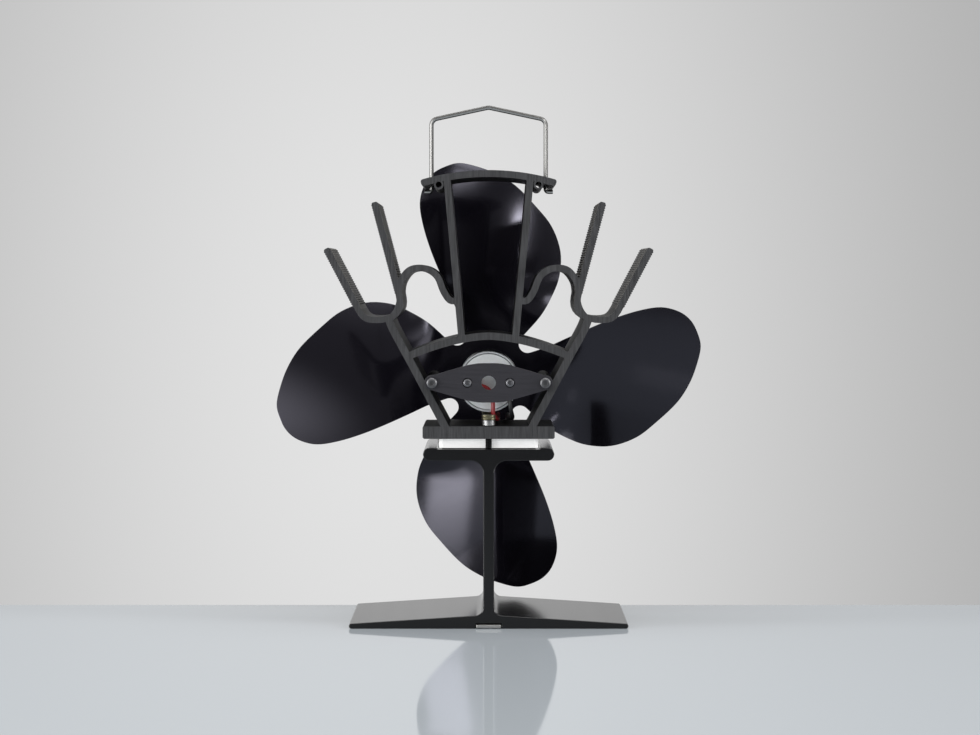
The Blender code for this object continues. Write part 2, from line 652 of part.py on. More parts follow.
def bracket_faces():
    """Y of the bracket's rear and front faces. It seats on the sink's rear bosses."""
    front = REAR_Y - CLEARANCE
    return front - BRACKET_THICKNESS, front


def build_bracket(material):
    """A lozenge plate: round ends, a straight flank on each side and a curved waist."""
    rear, front = bracket_faces()
    flank_deg = math.degrees(math.atan2(BRACKET_HALF_HEIGHT - BRACKET_END_RADIUS,
                                        BRACKET_SCREW_X - BRACKET_WAIST_HALF_WIDTH))
    top = arc(BRACKET_SCREW_X, AXIS_Z, BRACKET_END_RADIUS, 0, 90 - flank_deg, 6)
    knots = [(BRACKET_WAIST_HALF_WIDTH * 2, AXIS_Z + BRACKET_HALF_HEIGHT * BRACKET_SHOULDER_SHARE),
             (BRACKET_WAIST_HALF_WIDTH, AXIS_Z + BRACKET_HALF_HEIGHT * BRACKET_WAIST_SHARE),
             (0, AXIS_Z + BRACKET_HALF_HEIGHT)]
    top += [tuple(point) for point in smooth_curve(knots, 3)]
    upper = top + mirrored(top)[1:]
    lower = [(x, 2 * AXIS_Z - z) for x, z in reversed(upper)]
    bracket = extrusion("motor_bracket", upper + lower[1:-1], rear, front, material)
    cutters = [drill("bracket_hole", BRACKET_HOLE_RADIUS, (0, rear - CUT_OVERRUN, AXIS_Z),
                     (0, front + CUT_OVERRUN, AXIS_Z), 28)]
    for side in (-1, 1):
        for x, radius in ((BRACKET_SCREW_X, BRACKET_SCREW_RADIUS), (MOTOR_SCREW_X, MOTOR_SCREW_RADIUS)):
            cutters.append(drill("bracket_screw_hole", radius + CLEARANCE,
                                 (side * x, rear - CUT_OVERRUN, AXIS_Z),
                                 (side * x, front + CUT_OVERRUN, AXIS_Z), 20))
        cutters.append(drill("counterbore", MOTOR_COUNTERBORE_RADIUS,
                             (side * MOTOR_SCREW_X, rear - CUT_OVERRUN, AXIS_Z),
                             (side * MOTOR_SCREW_X, rear + MOTOR_COUNTERBORE_DEPTH, AXIS_Z), 24))
    combine(bracket, cutters, "DIFFERENCE")


def screw_profile(head_rear, seat, tip, head_radius, shank_radius):
    """Pan head with a round drive recess, then the shank, along Y from the rear."""
    crown = head_rear + (seat - head_rear) / 4
    recess = min(SCREW_RECESS_RADIUS, head_radius / 2)
    floor = head_rear + SCREW_RECESS_DEPTH
    return [(0, floor), (recess, floor), (recess, head_rear), (head_radius * SCREW_CROWN_SHARE, head_rear),
            (head_radius, crown), (head_radius, seat), (shank_radius, seat), (shank_radius, tip), (0, tip)]


def motor_rear_y():
    return bracket_faces()[1] + CLEARANCE + SPACER_LENGTH + CLEARANCE


def build_screws_and_spacers(pan_material, small_material, spacer_material):
    rear, front = bracket_faces()
    for side, word in ((-1, "left"), (1, "right")):
        seat = rear - CLEARANCE
        profile = screw_profile(seat - BRACKET_HEAD_HEIGHT, seat, REAR_Y + BRACKET_SCREW_LENGTH - CLEARANCE,
                                BRACKET_HEAD_RADIUS, BRACKET_SCREW_RADIUS)
        turned(f"bracket_screw_{word}", profile, side * BRACKET_SCREW_X, AXIS_Z, pan_material, 24)
        seat = rear + MOTOR_COUNTERBORE_DEPTH - CLEARANCE
        tip = motor_rear_y() + CAP_THICKNESS - CLEARANCE
        profile = screw_profile(seat - MOTOR_HEAD_HEIGHT, seat, tip, MOTOR_HEAD_RADIUS, MOTOR_SCREW_RADIUS)
        turned(f"motor_screw_{word}", profile, side * MOTOR_SCREW_X, AXIS_Z, small_material, 20)
        low = front + CLEARANCE
        high = low + SPACER_LENGTH
        bore = MOTOR_SCREW_RADIUS + CLEARANCE
        profile = [(bore, low), (SPACER_RADIUS, low), (SPACER_RADIUS, high), (bore, high)]
        turned(f"motor_spacer_{word}", profile, side * MOTOR_SCREW_X, AXIS_Z, spacer_material, 20)


def build_motor_case(can_material, cap_material, bush_material, terminal_material):
    """A drawn can, closed in front, with a cap in its rear end. A bush in each end carries the shaft,
    and the cap's nose closes over the rear bush."""
    rear = motor_rear_y()
    front = rear + CAN_LENGTH
    bore = CAN_RADIUS - CAN_WALL
    bush_seat = BUSH_RADIUS + CLEARANCE
    rounding = arc(CAN_RADIUS - CAN_ROUNDING, front - CAN_ROUNDING, CAN_ROUNDING, 0, 90, 4)
    profile = [(bore, rear), (CAN_RADIUS, rear)] + rounding
    profile += [(CAN_NOSE_RADIUS, front), (CAN_NOSE_RADIUS, front + CAN_NOSE_LENGTH),
                (bush_seat, front + CAN_NOSE_LENGTH), (bush_seat, front - CAN_WALL), (bore, front - CAN_WALL)]
    turned("motor_can", profile, 0, AXIS_Z, can_material)
    plug = bore - CLEARANCE
    cap_front = rear + CAP_THICKNESS
    nose = rear - CAP_NOSE_LENGTH
    inside = nose + CAP_NOSE_WALL
    profile = [(0, nose), (CAP_NOSE_RADIUS, nose), (CAP_NOSE_RADIUS, rear), (plug, rear),
               (plug, cap_front + CAP_SKIRT_LENGTH), (plug - CAN_WALL, cap_front + CAP_SKIRT_LENGTH),
               (plug - CAN_WALL, cap_front), (bush_seat, cap_front), (bush_seat, inside), (0, inside)]
    cap = turned("motor_end_cap", profile, 0, AXIS_Z, cap_material)
    cutters = []
    for side, word in ((-1, "left"), (1, "right")):
        cutters.append(drill(f"cap_hole_{word}", MOTOR_SCREW_RADIUS + CLEARANCE,
                             (side * MOTOR_SCREW_X, rear - CUT_OVERRUN, AXIS_Z),
                             (side * MOTOR_SCREW_X, cap_front + CUT_OVERRUN, AXIS_Z), 20))
        x = side * TERMINAL_X
        z = AXIS_Z
        half = TERMINAL_WIDTH / 2
        seat = rear + TERMINAL_SEAT_DEPTH
        cutters.append(box(f"terminal_slot_{word}",
                           (x - half - CLEARANCE, rear - CUT_OVERRUN, z - TERMINAL_THICKNESS / 2 - CLEARANCE),
                           (x + half + CLEARANCE, seat + CLEARANCE, z + TERMINAL_THICKNESS / 2 + CLEARANCE)))
        tab = box(f"motor_terminal_{word}", (x - half, rear - TERMINAL_LENGTH, z - TERMINAL_THICKNESS / 2),
                  (x + half, seat, z + TERMINAL_THICKNESS / 2), terminal_material)
        eye_y = rear - TERMINAL_LENGTH + TERMINAL_WIDTH / 2
        combine(tab, [drill(f"terminal_eye_{word}", TERMINAL_HOLE_RADIUS, (x, eye_y, z - CUT_OVERRUN),
                            (x, eye_y, z + CUT_OVERRUN), 12)], "DIFFERENCE")
    combine(cap, cutters, "DIFFERENCE")
    hole = SHAFT_RADIUS + CLEARANCE
    for word, low in (("rear", inside + CLEARANCE), ("front", front + CAN_NOSE_LENGTH - BUSH_LENGTH)):
        high = low + BUSH_LENGTH
        profile = [(hole, low), (BUSH_RADIUS, low), (BUSH_RADIUS, high), (hole, high)]
        turned(f"shaft_bush_{word}", profile, 0, AXIS_Z, bush_material, 24)


def armature_radius():
    return CAN_RADIUS - CAN_WALL - CLEARANCE - MAGNET_THICKNESS - ARMATURE_AIR_GAP


def armature_span():
    """Y of the armature's two ends: it sits in the middle of the can's free length."""
    low = motor_rear_y() + CAP_THICKNESS + CAP_SKIRT_LENGTH
    high = motor_rear_y() + CAN_LENGTH - CAN_WALL
    middle = (low + high) / 2
    return middle - ARMATURE_LENGTH / 2, middle + ARMATURE_LENGTH / 2


def build_motor_inside(magnet_material, armature_material, copper_material):
    low, high = armature_span()
    outer = CAN_RADIUS - CAN_WALL - CLEARANCE
    inner = outer - MAGNET_THICKNESS
    for middle_deg, word in ((180, "left"), (0, "right")):
        start, end = middle_deg - MAGNET_ARC_DEG / 2, middle_deg + MAGNET_ARC_DEG / 2
        outline = arc(0, AXIS_Z, outer, start, end, 16) + arc(0, AXIS_Z, inner, end, start, 16)
        extrusion(f"motor_magnet_{word}", outline, low, high, magnet_material)
    outline = []
    radius = armature_radius()
    gap_deg = math.degrees(ARMATURE_SLOT_WIDTH / radius)
    pitch_deg = 360 / ARMATURE_POLES
    for pole in range(ARMATURE_POLES):
        start = pole * pitch_deg
        outline += arc(0, AXIS_Z, radius, start + gap_deg / 2, start + pitch_deg - gap_deg / 2, 6)
        outline += arc(0, AXIS_Z, ARMATURE_CORE_RADIUS, start + pitch_deg - gap_deg / 2,
                       start + pitch_deg + gap_deg / 2, 2)
    armature = extrusion("motor_armature", outline, low, high, armature_material)
    bore = SHAFT_RADIUS + CLEARANCE
    combine(armature, [drill("armature_bore", bore, (0, low - CUT_OVERRUN, AXIS_Z),
                             (0, high + CUT_OVERRUN, AXIS_Z))], "DIFFERENCE")
    end = low - CLEARANCE
    start = end - COMMUTATOR_LENGTH
    profile = [(bore, start), (COMMUTATOR_RADIUS, start), (COMMUTATOR_RADIUS, end), (bore, end)]
    turned("commutator", profile, 0, AXIS_Z, copper_material, 24)


def propeller_y():
    """The blades turn clear of the stand's front edge."""
    return STAND_DEPTH / 2 + PROPELLER_STANDOFF


def build_shaft_and_hub(shaft_material, spindle_material, nut_material):
    rear = motor_rear_y() - CAP_NOSE_LENGTH + CAP_NOSE_WALL + CLEARANCE
    tip = motor_rear_y() + CAN_LENGTH + CAN_NOSE_LENGTH + SHAFT_REACH
    profile = [(0, rear), (SHAFT_RADIUS, rear), (SHAFT_RADIUS, tip), (0, tip)]
    turned("motor_shaft", profile, 0, AXIS_Z, shaft_material, 16)
    seat = propeller_y() - BLADE_THICKNESS / 2 - CLEARANCE
    flange = seat - SPINDLE_FLANGE_THICKNESS
    start = tip - SPINDLE_OVERLAP
    bore = SHAFT_RADIUS + CLEARANCE
    stud_end = propeller_y() + BLADE_THICKNESS / 2 + CLEARANCE + SPINDLE_STUD_LENGTH
    chamfer = SPINDLE_STUD_RADIUS / 4
    profile = [(0, tip + CLEARANCE), (bore, tip + CLEARANCE), (bore, start), (SPINDLE_RADIUS, start),
               (SPINDLE_RADIUS, flange), (SPINDLE_FLANGE_RADIUS, flange), (SPINDLE_FLANGE_RADIUS, seat),
               (SPINDLE_STUD_RADIUS, seat), (SPINDLE_STUD_RADIUS, stud_end - chamfer),
               (SPINDLE_STUD_RADIUS - chamfer, stud_end), (0, stud_end)]
    turned("hub_spindle", profile, 0, AXIS_Z, spindle_material, 28)
    low = propeller_y() + BLADE_THICKNESS / 2 + CLEARANCE
    high = low + HUB_NUT_HEIGHT
    corner = HUB_NUT_WIDTH / math.sqrt(3)
    outline = arc(0, AXIS_Z, corner, 0, 300, 5)
    nut = extrusion("hub_nut", outline, low, high, nut_material)
    dome = []
    for step in range(6):
        angle = math.radians(90 * step / 5)
        radius = HUB_NUT_WIDTH / 2 * math.cos(angle) if step < 5 else 0
        dome.append((radius, high + HUB_NUT_DOME * math.sin(angle)))
    inside = high - HUB_NUT_HEIGHT / 2
    cap = turned("nut_dome", [(0, inside), (HUB_NUT_WIDTH / 2, inside)] + dome, 0, AXIS_Z, segments=24)
    combine(nut, [cap], "UNION")
    combine(nut, [drill("nut_bore", SPINDLE_STUD_RADIUS + CLEARANCE, (0, low - CUT_OVERRUN, AXIS_Z),
                        (0, stud_end + CLEARANCE, AXIS_Z))], "DIFFERENCE")


def blade_surface(out, across):
    """Y offset of the blade's sheet at a place in its outline: level at the hub, then pitched with the
    leading edge to the rear and cupped, with its tip curled forward."""
    share = out / PROPELLER_RADIUS
    rise = min(1, max(0, (share - FLAT_ROOT_SHARE) / (FULL_PITCH_SHARE - FLAT_ROOT_SHARE)))
    rise = rise * rise * (3 - 2 * rise)
    pitch = math.radians(BLADE_PITCH_DEG + (BLADE_TIP_PITCH_DEG - BLADE_PITCH_DEG) * share)
    half_chord = PROPELLER_RADIUS * (TRAILING_EDGE_SHARES[4][1] - LEADING_EDGE_SHARES[6][1]) / 2
    curl = BLADE_TIP_CURL * (max(0, share - CURL_START_SHARE) / (1 - CURL_START_SHARE)) ** 2
    return curl + rise * (BLADE_CUP * (across / half_chord) ** 2 + across * math.tan(pitch))


def blade_rows():
    """Rows of (out, across) points from the root to just short of the tip."""
    steps = 2
    edges = []
    for shares in (TRAILING_EDGE_SHARES, LEADING_EDGE_SHARES):
        knots = [(PROPELLER_RADIUS * a, PROPELLER_RADIUS * b) for a, b in shares + (TIP_SHARES,)]
        edges.append(smooth_curve(knots, steps))
    rows = []
    for trail, lead in zip(*edges):
        rows.append([trail.lerp(lead, column / BLADE_COLUMNS) for column in range(BLADE_COLUMNS + 1)])
    return rows


def build_propeller(material):
    """One pressing. Each blade is a net of rows between its two edges, and the hub is flat sheet
    bounded by the blades' roots and by the round notches between them."""
    bm = bmesh.new()
    hub_ring = []
    rows = blade_rows()
    for blade in range(BLADE_COUNT):
        turn = math.tau * blade / BLADE_COUNT

        def place(out, across):
            x = out * math.cos(turn) + across * math.sin(turn)
            z = out * math.sin(turn) - across * math.cos(turn)
            return bm.verts.new((x, propeller_y() + blade_surface(out, across), AXIS_Z + z))

        net = [[place(*point) for point in row] for row in rows[:-1]]
        for inner, outer in zip(net, net[1:]):
            for column in range(BLADE_COLUMNS):
                bm.faces.new((inner[column], inner[column + 1], outer[column + 1], outer[column]))
        tip = place(*rows[-1][0])
        for column in range(BLADE_COLUMNS):
            bm.faces.new((net[-1][column], net[-1][column + 1], tip))
        hub_ring += net[0]
        middle = math.degrees(turn) + 180 / BLADE_COUNT + NOTCH_TURN_DEG
        centre_x = PROPELLER_RADIUS * NOTCH_CENTRE_SHARE * math.cos(math.radians(middle))
        centre_z = PROPELLER_RADIUS * NOTCH_CENTRE_SHARE * math.sin(math.radians(middle))
        rim = arc(centre_x, centre_z, PROPELLER_RADIUS * NOTCH_RADIUS_SHARE, middle + NOTCH_START_DEG,
                  middle + NOTCH_END_DEG, 10)
        for x, z in rim[1:-1]:
            hub_ring.append(bm.verts.new((x, propeller_y(), AXIS_Z + z)))
    bore = []
    for x, z in arc(0, AXIS_Z, SPINDLE_STUD_RADIUS + CLEARANCE, 0, 345, 23):
        bore.append(bm.verts.new((x, propeller_y(), z)))
    edges = []
    for ring in (hub_ring, bore):
        for index, vert in enumerate(ring):
            pair = (ring[index - 1], vert)
            edges.append(bm.edges.get(pair) or bm.edges.new(pair))
    bmesh.ops.triangle_fill(bm, use_beauty=True, use_dissolve=False, edges=edges, normal=(0, 1, 0))
    bmesh.ops.recalc_face_normals(bm, faces=bm.faces)
    propeller = new_object("propeller", bm, material)
    sheet = propeller.modifiers.new("sheet", "SOLIDIFY")
    sheet.thickness = BLADE_THICKNESS
    sheet.offset = 0


def build_handle(material):
    """A bail of bent wire. Its legs pass down through the top plate and end in short toes turned out."""
    y = handle_y()
    plate_top = top_plate_z(0) + TOP_PLATE_THICKNESS / 2
    toe_z = top_plate_z(HANDLE_LEG_X) - TOP_PLATE_THICKNESS / 2 - HANDLE_TOE_DROP
    toe = Vector((HANDLE_LEG_X + HANDLE_TOE_REACH, y, toe_z))
    heel = Vector((HANDLE_LEG_X, y, toe_z))
    shoulder = Vector((HANDLE_LEG_X, y, plate_top + HANDLE_SHOULDER_RISE))
    apex = Vector((0, y, plate_top + HANDLE_APEX_RISE))
    leg = [toe] + rounded_corner(toe, heel, shoulder, HANDLE_TOE_BEND_RADIUS, 4)
    leg += rounded_corner(heel, shoulder, apex, HANDLE_BEND_RADIUS, 6)
    other_leg = [Vector((-point.x, point.y, point.z)) for point in reversed(leg)]
    crown = rounded_corner(shoulder, apex, other_leg[0], HANDLE_BEND_RADIUS, 4)
    wire("handle", leg + crown + other_leg, HANDLE_WIRE_RADIUS, material, 3)


def build_leads(red, black):
    """Two leads from the motor's terminals down to the sink's plate, then forward along it and round
    its front edge to the module."""
    space_y = motor_rear_y() - LEAD_SPACE_BEHIND_MOTOR
    start_z = AXIS_Z - TERMINAL_THICKNESS / 2 - LEAD_RADIUS - CLEARANCE
    run_z = SINK_PLATE_TOP_Z + LEAD_RISE_ABOVE_PLATE
    front = SINK_FRONT_Y + LEAD_RADIUS + 2 * CLEARANCE
    module_front = MODULE_Y + MODULE_WIDTH / 2 + SEAL_WALL + 2 * CLEARANCE
    module_z = (FLANGE_SEAT_Z + SINK_UNDERSIDE_Z) / 2
    for side, name, way, x, material in ((-1, "red_lead", RED_LEAD_WAY, RED_LEAD_RUN_X, red),
                                         (1, "black_lead", BLACK_LEAD_WAY, BLACK_LEAD_RUN_X, black)):
        knots = [(side * TERMINAL_X, space_y, start_z)]
        for across, ahead, drop in way:
            knots.append((across, space_y + ahead, AXIS_Z - drop))
        knots += [(x, MODULE_Y, run_z), (x, SINK_FRONT_Y - 2 * LEAD_RADIUS, run_z),
                  (x, front, run_z - 3 * LEAD_RADIUS), (x, front, module_z + 2 * LEAD_RADIUS),
                  (x, module_front, module_z)]
        wire(name, smooth_curve([Vector(k) for k in knots], 3), LEAD_RADIUS, material, 2)


def ride_on(name, place, pieces):
    """An empty on a joint's axis that carries the pieces which move together about or along it."""
    carrier = bpy.data.objects.new(name, None)
    carrier.location = place
    bpy.context.scene.collection.objects.link(carrier)
    for piece in pieces:
        obj = bpy.data.objects[piece]
        obj.parent = carrier
        obj.matrix_parent_inverse = Matrix.Translation(-carrier.location)


clear_scene()
black_anodised = new_material("black_anodised", (0.020, 0.020, 0.022), 0.42, 0.0)
sawn_dark = new_material("sawn_dark", (0.060, 0.060, 0.062), 0.55, 0.2)
blade_black = new_material("blade_black", (0.012, 0.012, 0.014), 0.30, 0.0)
bracket_dark = new_material("bracket_dark", (0.060, 0.057, 0.065), 0.50, 0.2)
bright_steel = new_material("bright_steel", (0.60, 0.60, 0.58), 0.28, 1.0)
black_screw = new_material("black_screw", (0.05, 0.05, 0.052), 0.35, 0.6)
zinc_yellow = new_material("zinc_yellow", (0.42, 0.38, 0.24), 0.40, 1.0)
motor_grey = new_material("motor_grey", (0.62, 0.66, 0.68), 0.45, 0.4)
cap_grey = new_material("cap_grey", (0.66, 0.70, 0.72), 0.50, 0.0)
bronze = new_material("bronze", (0.45, 0.28, 0.12), 0.45, 1.0)
ferrite = new_material("ferrite", (0.05, 0.05, 0.055), 0.70, 0.0)
lamination = new_material("lamination", (0.25, 0.25, 0.26), 0.50, 0.9)
copper = new_material("copper", (0.60, 0.28, 0.15), 0.35, 1.0)
white_ceramic = new_material("white_ceramic", (0.85, 0.85, 0.83), 0.55, 0.0)
white_seal = new_material("white_seal", (0.80, 0.80, 0.78), 0.60, 0.0)
pellet_grey = new_material("pellet_grey", (0.30, 0.30, 0.32), 0.60, 0.5)
red_plastic = new_material("red_plastic", (0.45, 0.03, 0.03), 0.45, 0.0)
black_plastic = new_material("black_plastic", (0.02, 0.02, 0.02), 0.45, 0.0)

build_stand(black_anodised)
build_bimetal_strip(bright_steel, bright_steel)
build_module(white_ceramic, pellet_grey, white_seal)
build_heat_sink(sawn_dark)
build_clamp_bolts(zinc_yellow, bright_steel)
build_bracket(bracket_dark)
build_screws_and_spacers(black_screw, bright_steel, bright_steel)
build_motor_case(motor_grey, cap_grey, bronze, bronze)
build_motor_inside(ferrite, lamination, copper)
build_shaft_and_hub(bright_steel, bright_steel, bright_steel)
build_propeller(blade_black)
build_handle(bright_steel)
build_leads(red_plastic, black_plastic)
ride_on("rotor", (0, propeller_y(), AXIS_Z),
        ("motor_shaft", "motor_armature", "commutator", "hub_spindle", "propeller", "hub_nut"))
ride_on("carry_handle", (0, handle_y(), top_plate_z(0)), ("handle",))
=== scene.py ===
import math

import bmesh
import bpy
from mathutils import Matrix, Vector


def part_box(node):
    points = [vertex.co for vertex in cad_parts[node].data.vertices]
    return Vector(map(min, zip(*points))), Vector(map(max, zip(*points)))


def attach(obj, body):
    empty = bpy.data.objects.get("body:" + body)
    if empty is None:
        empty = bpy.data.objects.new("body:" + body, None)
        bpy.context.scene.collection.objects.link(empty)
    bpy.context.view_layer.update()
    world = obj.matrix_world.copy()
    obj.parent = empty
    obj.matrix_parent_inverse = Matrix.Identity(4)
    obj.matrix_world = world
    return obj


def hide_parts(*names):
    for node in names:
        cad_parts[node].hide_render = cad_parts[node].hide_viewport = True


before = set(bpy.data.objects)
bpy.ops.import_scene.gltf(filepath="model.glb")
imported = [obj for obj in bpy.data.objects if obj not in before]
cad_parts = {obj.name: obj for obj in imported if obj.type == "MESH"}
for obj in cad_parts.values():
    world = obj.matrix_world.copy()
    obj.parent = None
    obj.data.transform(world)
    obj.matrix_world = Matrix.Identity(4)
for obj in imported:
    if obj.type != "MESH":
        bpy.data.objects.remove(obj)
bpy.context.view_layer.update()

# Studio: the fan stands near the far edge of a glossy pale table and is seen squarely from its rear.
# A pale backdrop glows beyond the table. The camera's side is dim, with softboxes right, left and
# overhead, a small one high on the camera's right, and a soft glow on its left.
CAMERA_PLACE = (0.0, -1.134, 0.1504)
CAMERA_PITCH_DEG = 2.04
CAMERA_LENS = 95.4
CAMERA_SHIFT = 0.0014
# Each softbox's place, its width and height in metres, and its power in watts.
SOFTBOXES = {"right_strip": ((0.878, -0.815, 0.295), (0.085, 0.17), 1.2),
             "right_side": ((1.30, -0.36, 0.52), (0.30, 0.70), 13.0),
             "left_side": ((-1.34, -0.20, 0.46), (0.30, 0.60), 13.0),
             "left_low": ((-0.96, -0.75, 0.18), (0.36, 0.34), 4.2),
             "right_fill": ((0.46, -1.02, 0.69), (0.30, 0.20), 1.0),
             "overhead": ((0.0, -0.15, 1.20), (1.30, 0.70), 12.0)}
LAMP_AIM = (0, 0, 0.10)
BACKDROP_MIDDLE = (-0.035, 0.998, -0.018)
BACKDROP_HEIGHT_SHARE = 0.6
BACKDROP_SPREAD = 0.30
BACKDROP_LIGHT = 0.77
BACKDROP_DIM = 0.42
BACKDROP_STARTS_Y = 0.1
BACKDROP_FULL_Y = 0.3
# The dim side's light from the horizon up: the height of a direction from 0 to 1, and the level there.
DIM_SIDE_BY_HEIGHT = ((0.0, 0.10), (0.25, 0.20), (0.75, 0.25), (1.0, 0.9))
GLOW_DIRECTION = (-0.52, -0.83, 0.20)
GLOW_SPREAD = 0.46
GLOW_LIGHT = 2.3
TABLE_EDGE_Y = 0.046
TABLE_REACH = 3.0
TABLE_COLOR = (0.365, 0.395, 0.42)
TABLE_ROUGHNESS = 0.05
TABLE_IOR = 1.33

camera_data = bpy.data.cameras.new("camera")
camera_data.lens = CAMERA_LENS
camera_data.shift_x = CAMERA_SHIFT
camera = bpy.data.objects.new("camera", camera_data)
camera.location = CAMERA_PLACE
camera.rotation_euler = (math.radians(90 - CAMERA_PITCH_DEG), 0, 0)
bpy.context.scene.collection.objects.link(camera)
bpy.context.scene.camera = camera
bpy.context.scene.view_settings.view_transform = "Standard"

for lamp_name, (place, (width, height), power) in SOFTBOXES.items():
    lamp_data = bpy.data.lights.new(lamp_name, "AREA")
    lamp_data.shape = "RECTANGLE"
    lamp_data.size = width
    lamp_data.size_y = height
    lamp_data.energy = power
    lamp = bpy.data.objects.new(lamp_name, lamp_data)
    lamp.location = place
    lamp.visible_camera = False
    lamp.rotation_euler = (Vector(LAMP_AIM) - Vector(place)).to_track_quat("-Z", "Y").to_euler()
    bpy.context.scene.collection.objects.link(lamp)


def linked(tree, kind, links=(), values=(), **settings):
    """A new node whose input sockets get outputs or plain values, each a (socket, what) pair."""
    node = tree.nodes.new(kind)
    for setting, value in settings.items():
        setattr(node, setting, value)
    for socket, output in links:
        tree.links.new(output, node.inputs[socket])
    for socket, value in values:
        node.inputs[socket].default_value = value
    return node


def worked_out(tree, operation, first, second=None, third=None):
    """A Math node of outputs and numbers."""
    node = linked(tree, "ShaderNodeMath", operation=operation)
    for socket, what in enumerate((first, second, third)):
        if isinstance(what, bpy.types.NodeSocket):
            tree.links.new(what, node.inputs[socket])
        elif what is not None:
            node.inputs[socket].default_value = what
    return node.outputs["Value"]


def glow_from(tree, direction, middle, spread, light, dim):
    """Light round a middle direction, falling smoothly to a dim level at the spread."""
    away = linked(tree, "ShaderNodeVectorMath", [(0, direction)], [(1, middle)], operation="DISTANCE")
    fading = linked(tree, "ShaderNodeMapRange", [("Value", away.outputs["Value"])],
                    [("From Max", spread), ("To Min", light), ("To Max", dim)],
                    interpolation_type="SMOOTHSTEP")
    return fading.outputs["Result"]


def light_studio():
    """The world: a backdrop that fades from its middle, and a dim side, lighter high up, with one glow."""
    world = bpy.data.worlds.new("studio")
    world.use_nodes = True
    bpy.context.scene.world = world
    tree = world.node_tree
    tree.nodes.clear()
    direction = tree.nodes.new("ShaderNodeTexCoord").outputs["Generated"]
    flattened = linked(tree, "ShaderNodeVectorMath", [(0, direction)], [(1, (1, 1, BACKDROP_HEIGHT_SHARE))],
                       operation="MULTIPLY")
    backdrop = glow_from(tree, flattened.outputs["Vector"], BACKDROP_MIDDLE, BACKDROP_SPREAD,
                         BACKDROP_LIGHT, BACKDROP_DIM)
    parts = linked(tree, "ShaderNodeSeparateXYZ", [("Vector", direction)])
    dim_side = linked(tree, "ShaderNodeValToRGB", [("Fac", parts.outputs["Z"])])
    ramp = dim_side.color_ramp
    for height, _ in DIM_SIDE_BY_HEIGHT[1:-1]:
        ramp.elements.new(height)
    for stop, (_, level) in zip(ramp.elements, DIM_SIDE_BY_HEIGHT):
        stop.color = (level, level, level, 1)
    glow = glow_from(tree, direction, GLOW_DIRECTION, GLOW_SPREAD, GLOW_LIGHT, 0.0)
    lit_side = worked_out(tree, "ADD", dim_side.outputs["Color"], glow)
    beyond = linked(tree, "ShaderNodeMapRange", [("Value", parts.outputs["Y"])],
                    [("From Min", BACKDROP_STARTS_Y), ("From Max", BACKDROP_FULL_Y)])
    both = linked(tree, "ShaderNodeMix",
                  [("Factor", beyond.outputs["Result"]), ("A", lit_side), ("B", backdrop)])
    shown = linked(tree, "ShaderNodeBackground", [("Color", both.outputs["Result"])])
    linked(tree, "ShaderNodeOutputWorld", [("Surface", shown.outputs["Background"])])


light_studio()


def new_finish(name, color, roughness, metallic=0.0, ior=1.5):
    """A material with one Principled BSDF, as (material, its node tree, the shader)."""
    material = bpy.data.materials.new(name)
    material.use_nodes = True
    shader = material.node_tree.nodes["Principled BSDF"]
    shader.inputs["Base Color"].default_value = (*color, 1)
    shader.inputs["Roughness"].default_value = roughness
    shader.inputs["Metallic"].default_value = metallic
    shader.inputs["IOR"].default_value = ior
    return material, material.node_tree, shader


table_mesh = bpy.data.meshes.new("table_top")
table_corners = [(-TABLE_REACH, -TABLE_REACH, 0), (TABLE_REACH, -TABLE_REACH, 0),
                 (TABLE_REACH, TABLE_EDGE_Y, 0), (-TABLE_REACH, TABLE_EDGE_Y, 0)]
table_mesh.from_pydata(table_corners, [], [(0, 1, 2, 3)])
table_mesh.materials.append(new_finish("glossy_table", TABLE_COLOR, TABLE_ROUGHNESS, ior=TABLE_IOR)[0])
table_top = bpy.data.objects.new("table_top", table_mesh)
bpy.context.scene.collection.objects.link(table_top)

# Stand: one black anodised aluminium extrusion, a thin sloped foot, an upright stem and a flange.
# Its smooth skin keeps faint straight lines of the die along its depth. It stands on the hot stove.
STAND_BLACK = (0.004, 0.004, 0.0045)
STAND_EDGE = 0.0003
JOIN_DISTANCE = 0.000004
FLAT_BELOW_DEG = 0.4
SMOOTH_BELOW_DEG = 33
BEVEL_ABOVE_DEG = 38
BEVEL_SEGMENTS = 2


def grain_group():
    """Uneven tone and height over a surface: Contrast sets the tone's swing round 1."""
    group = bpy.data.node_groups.new("Metal grain", "ShaderNodeTree")
    group.interface.new_socket("Vector", in_out="INPUT", socket_type="NodeSocketVector")
    for name in ("Scale", "Detail", "Contrast"):
        group.interface.new_socket(name, in_out="INPUT", socket_type="NodeSocketFloat")
    for name in ("Tone", "Height"):
        group.interface.new_socket(name, in_out="OUTPUT", socket_type="NodeSocketFloat")
    given = group.nodes.new("NodeGroupInput").outputs
    grain = linked(group, "ShaderNodeTexNoise",
                   [(name, given[name]) for name in ("Vector", "Scale", "Detail")]).outputs["Fac"]
    swing = worked_out(group, "MULTIPLY", given["Contrast"], 2.0)
    tone = worked_out(group, "MULTIPLY_ADD", worked_out(group, "SUBTRACT", grain, 0.5), swing, 1.0)
    linked(group, "NodeGroupOutput", [("Tone", tone), ("Height", grain)])
    return group


metal_grain = grain_group()


def place_grain(tree, stretch, scale, detail, contrast):
    """The grain group in a material, its texture stretched by a factor along each axis."""
    place = tree.nodes.new("ShaderNodeTexCoord").outputs["Object"]
    mapping = linked(tree, "ShaderNodeMapping", [("Vector", place)], [("Scale", stretch)])
    grain = tree.nodes.new("ShaderNodeGroup")
    grain.node_tree = metal_grain
    tree.links.new(mapping.outputs["Vector"], grain.inputs["Vector"])
    for name, value in (("Scale", scale), ("Detail", detail), ("Contrast", contrast)):
        grain.inputs[name].default_value = value
    return grain


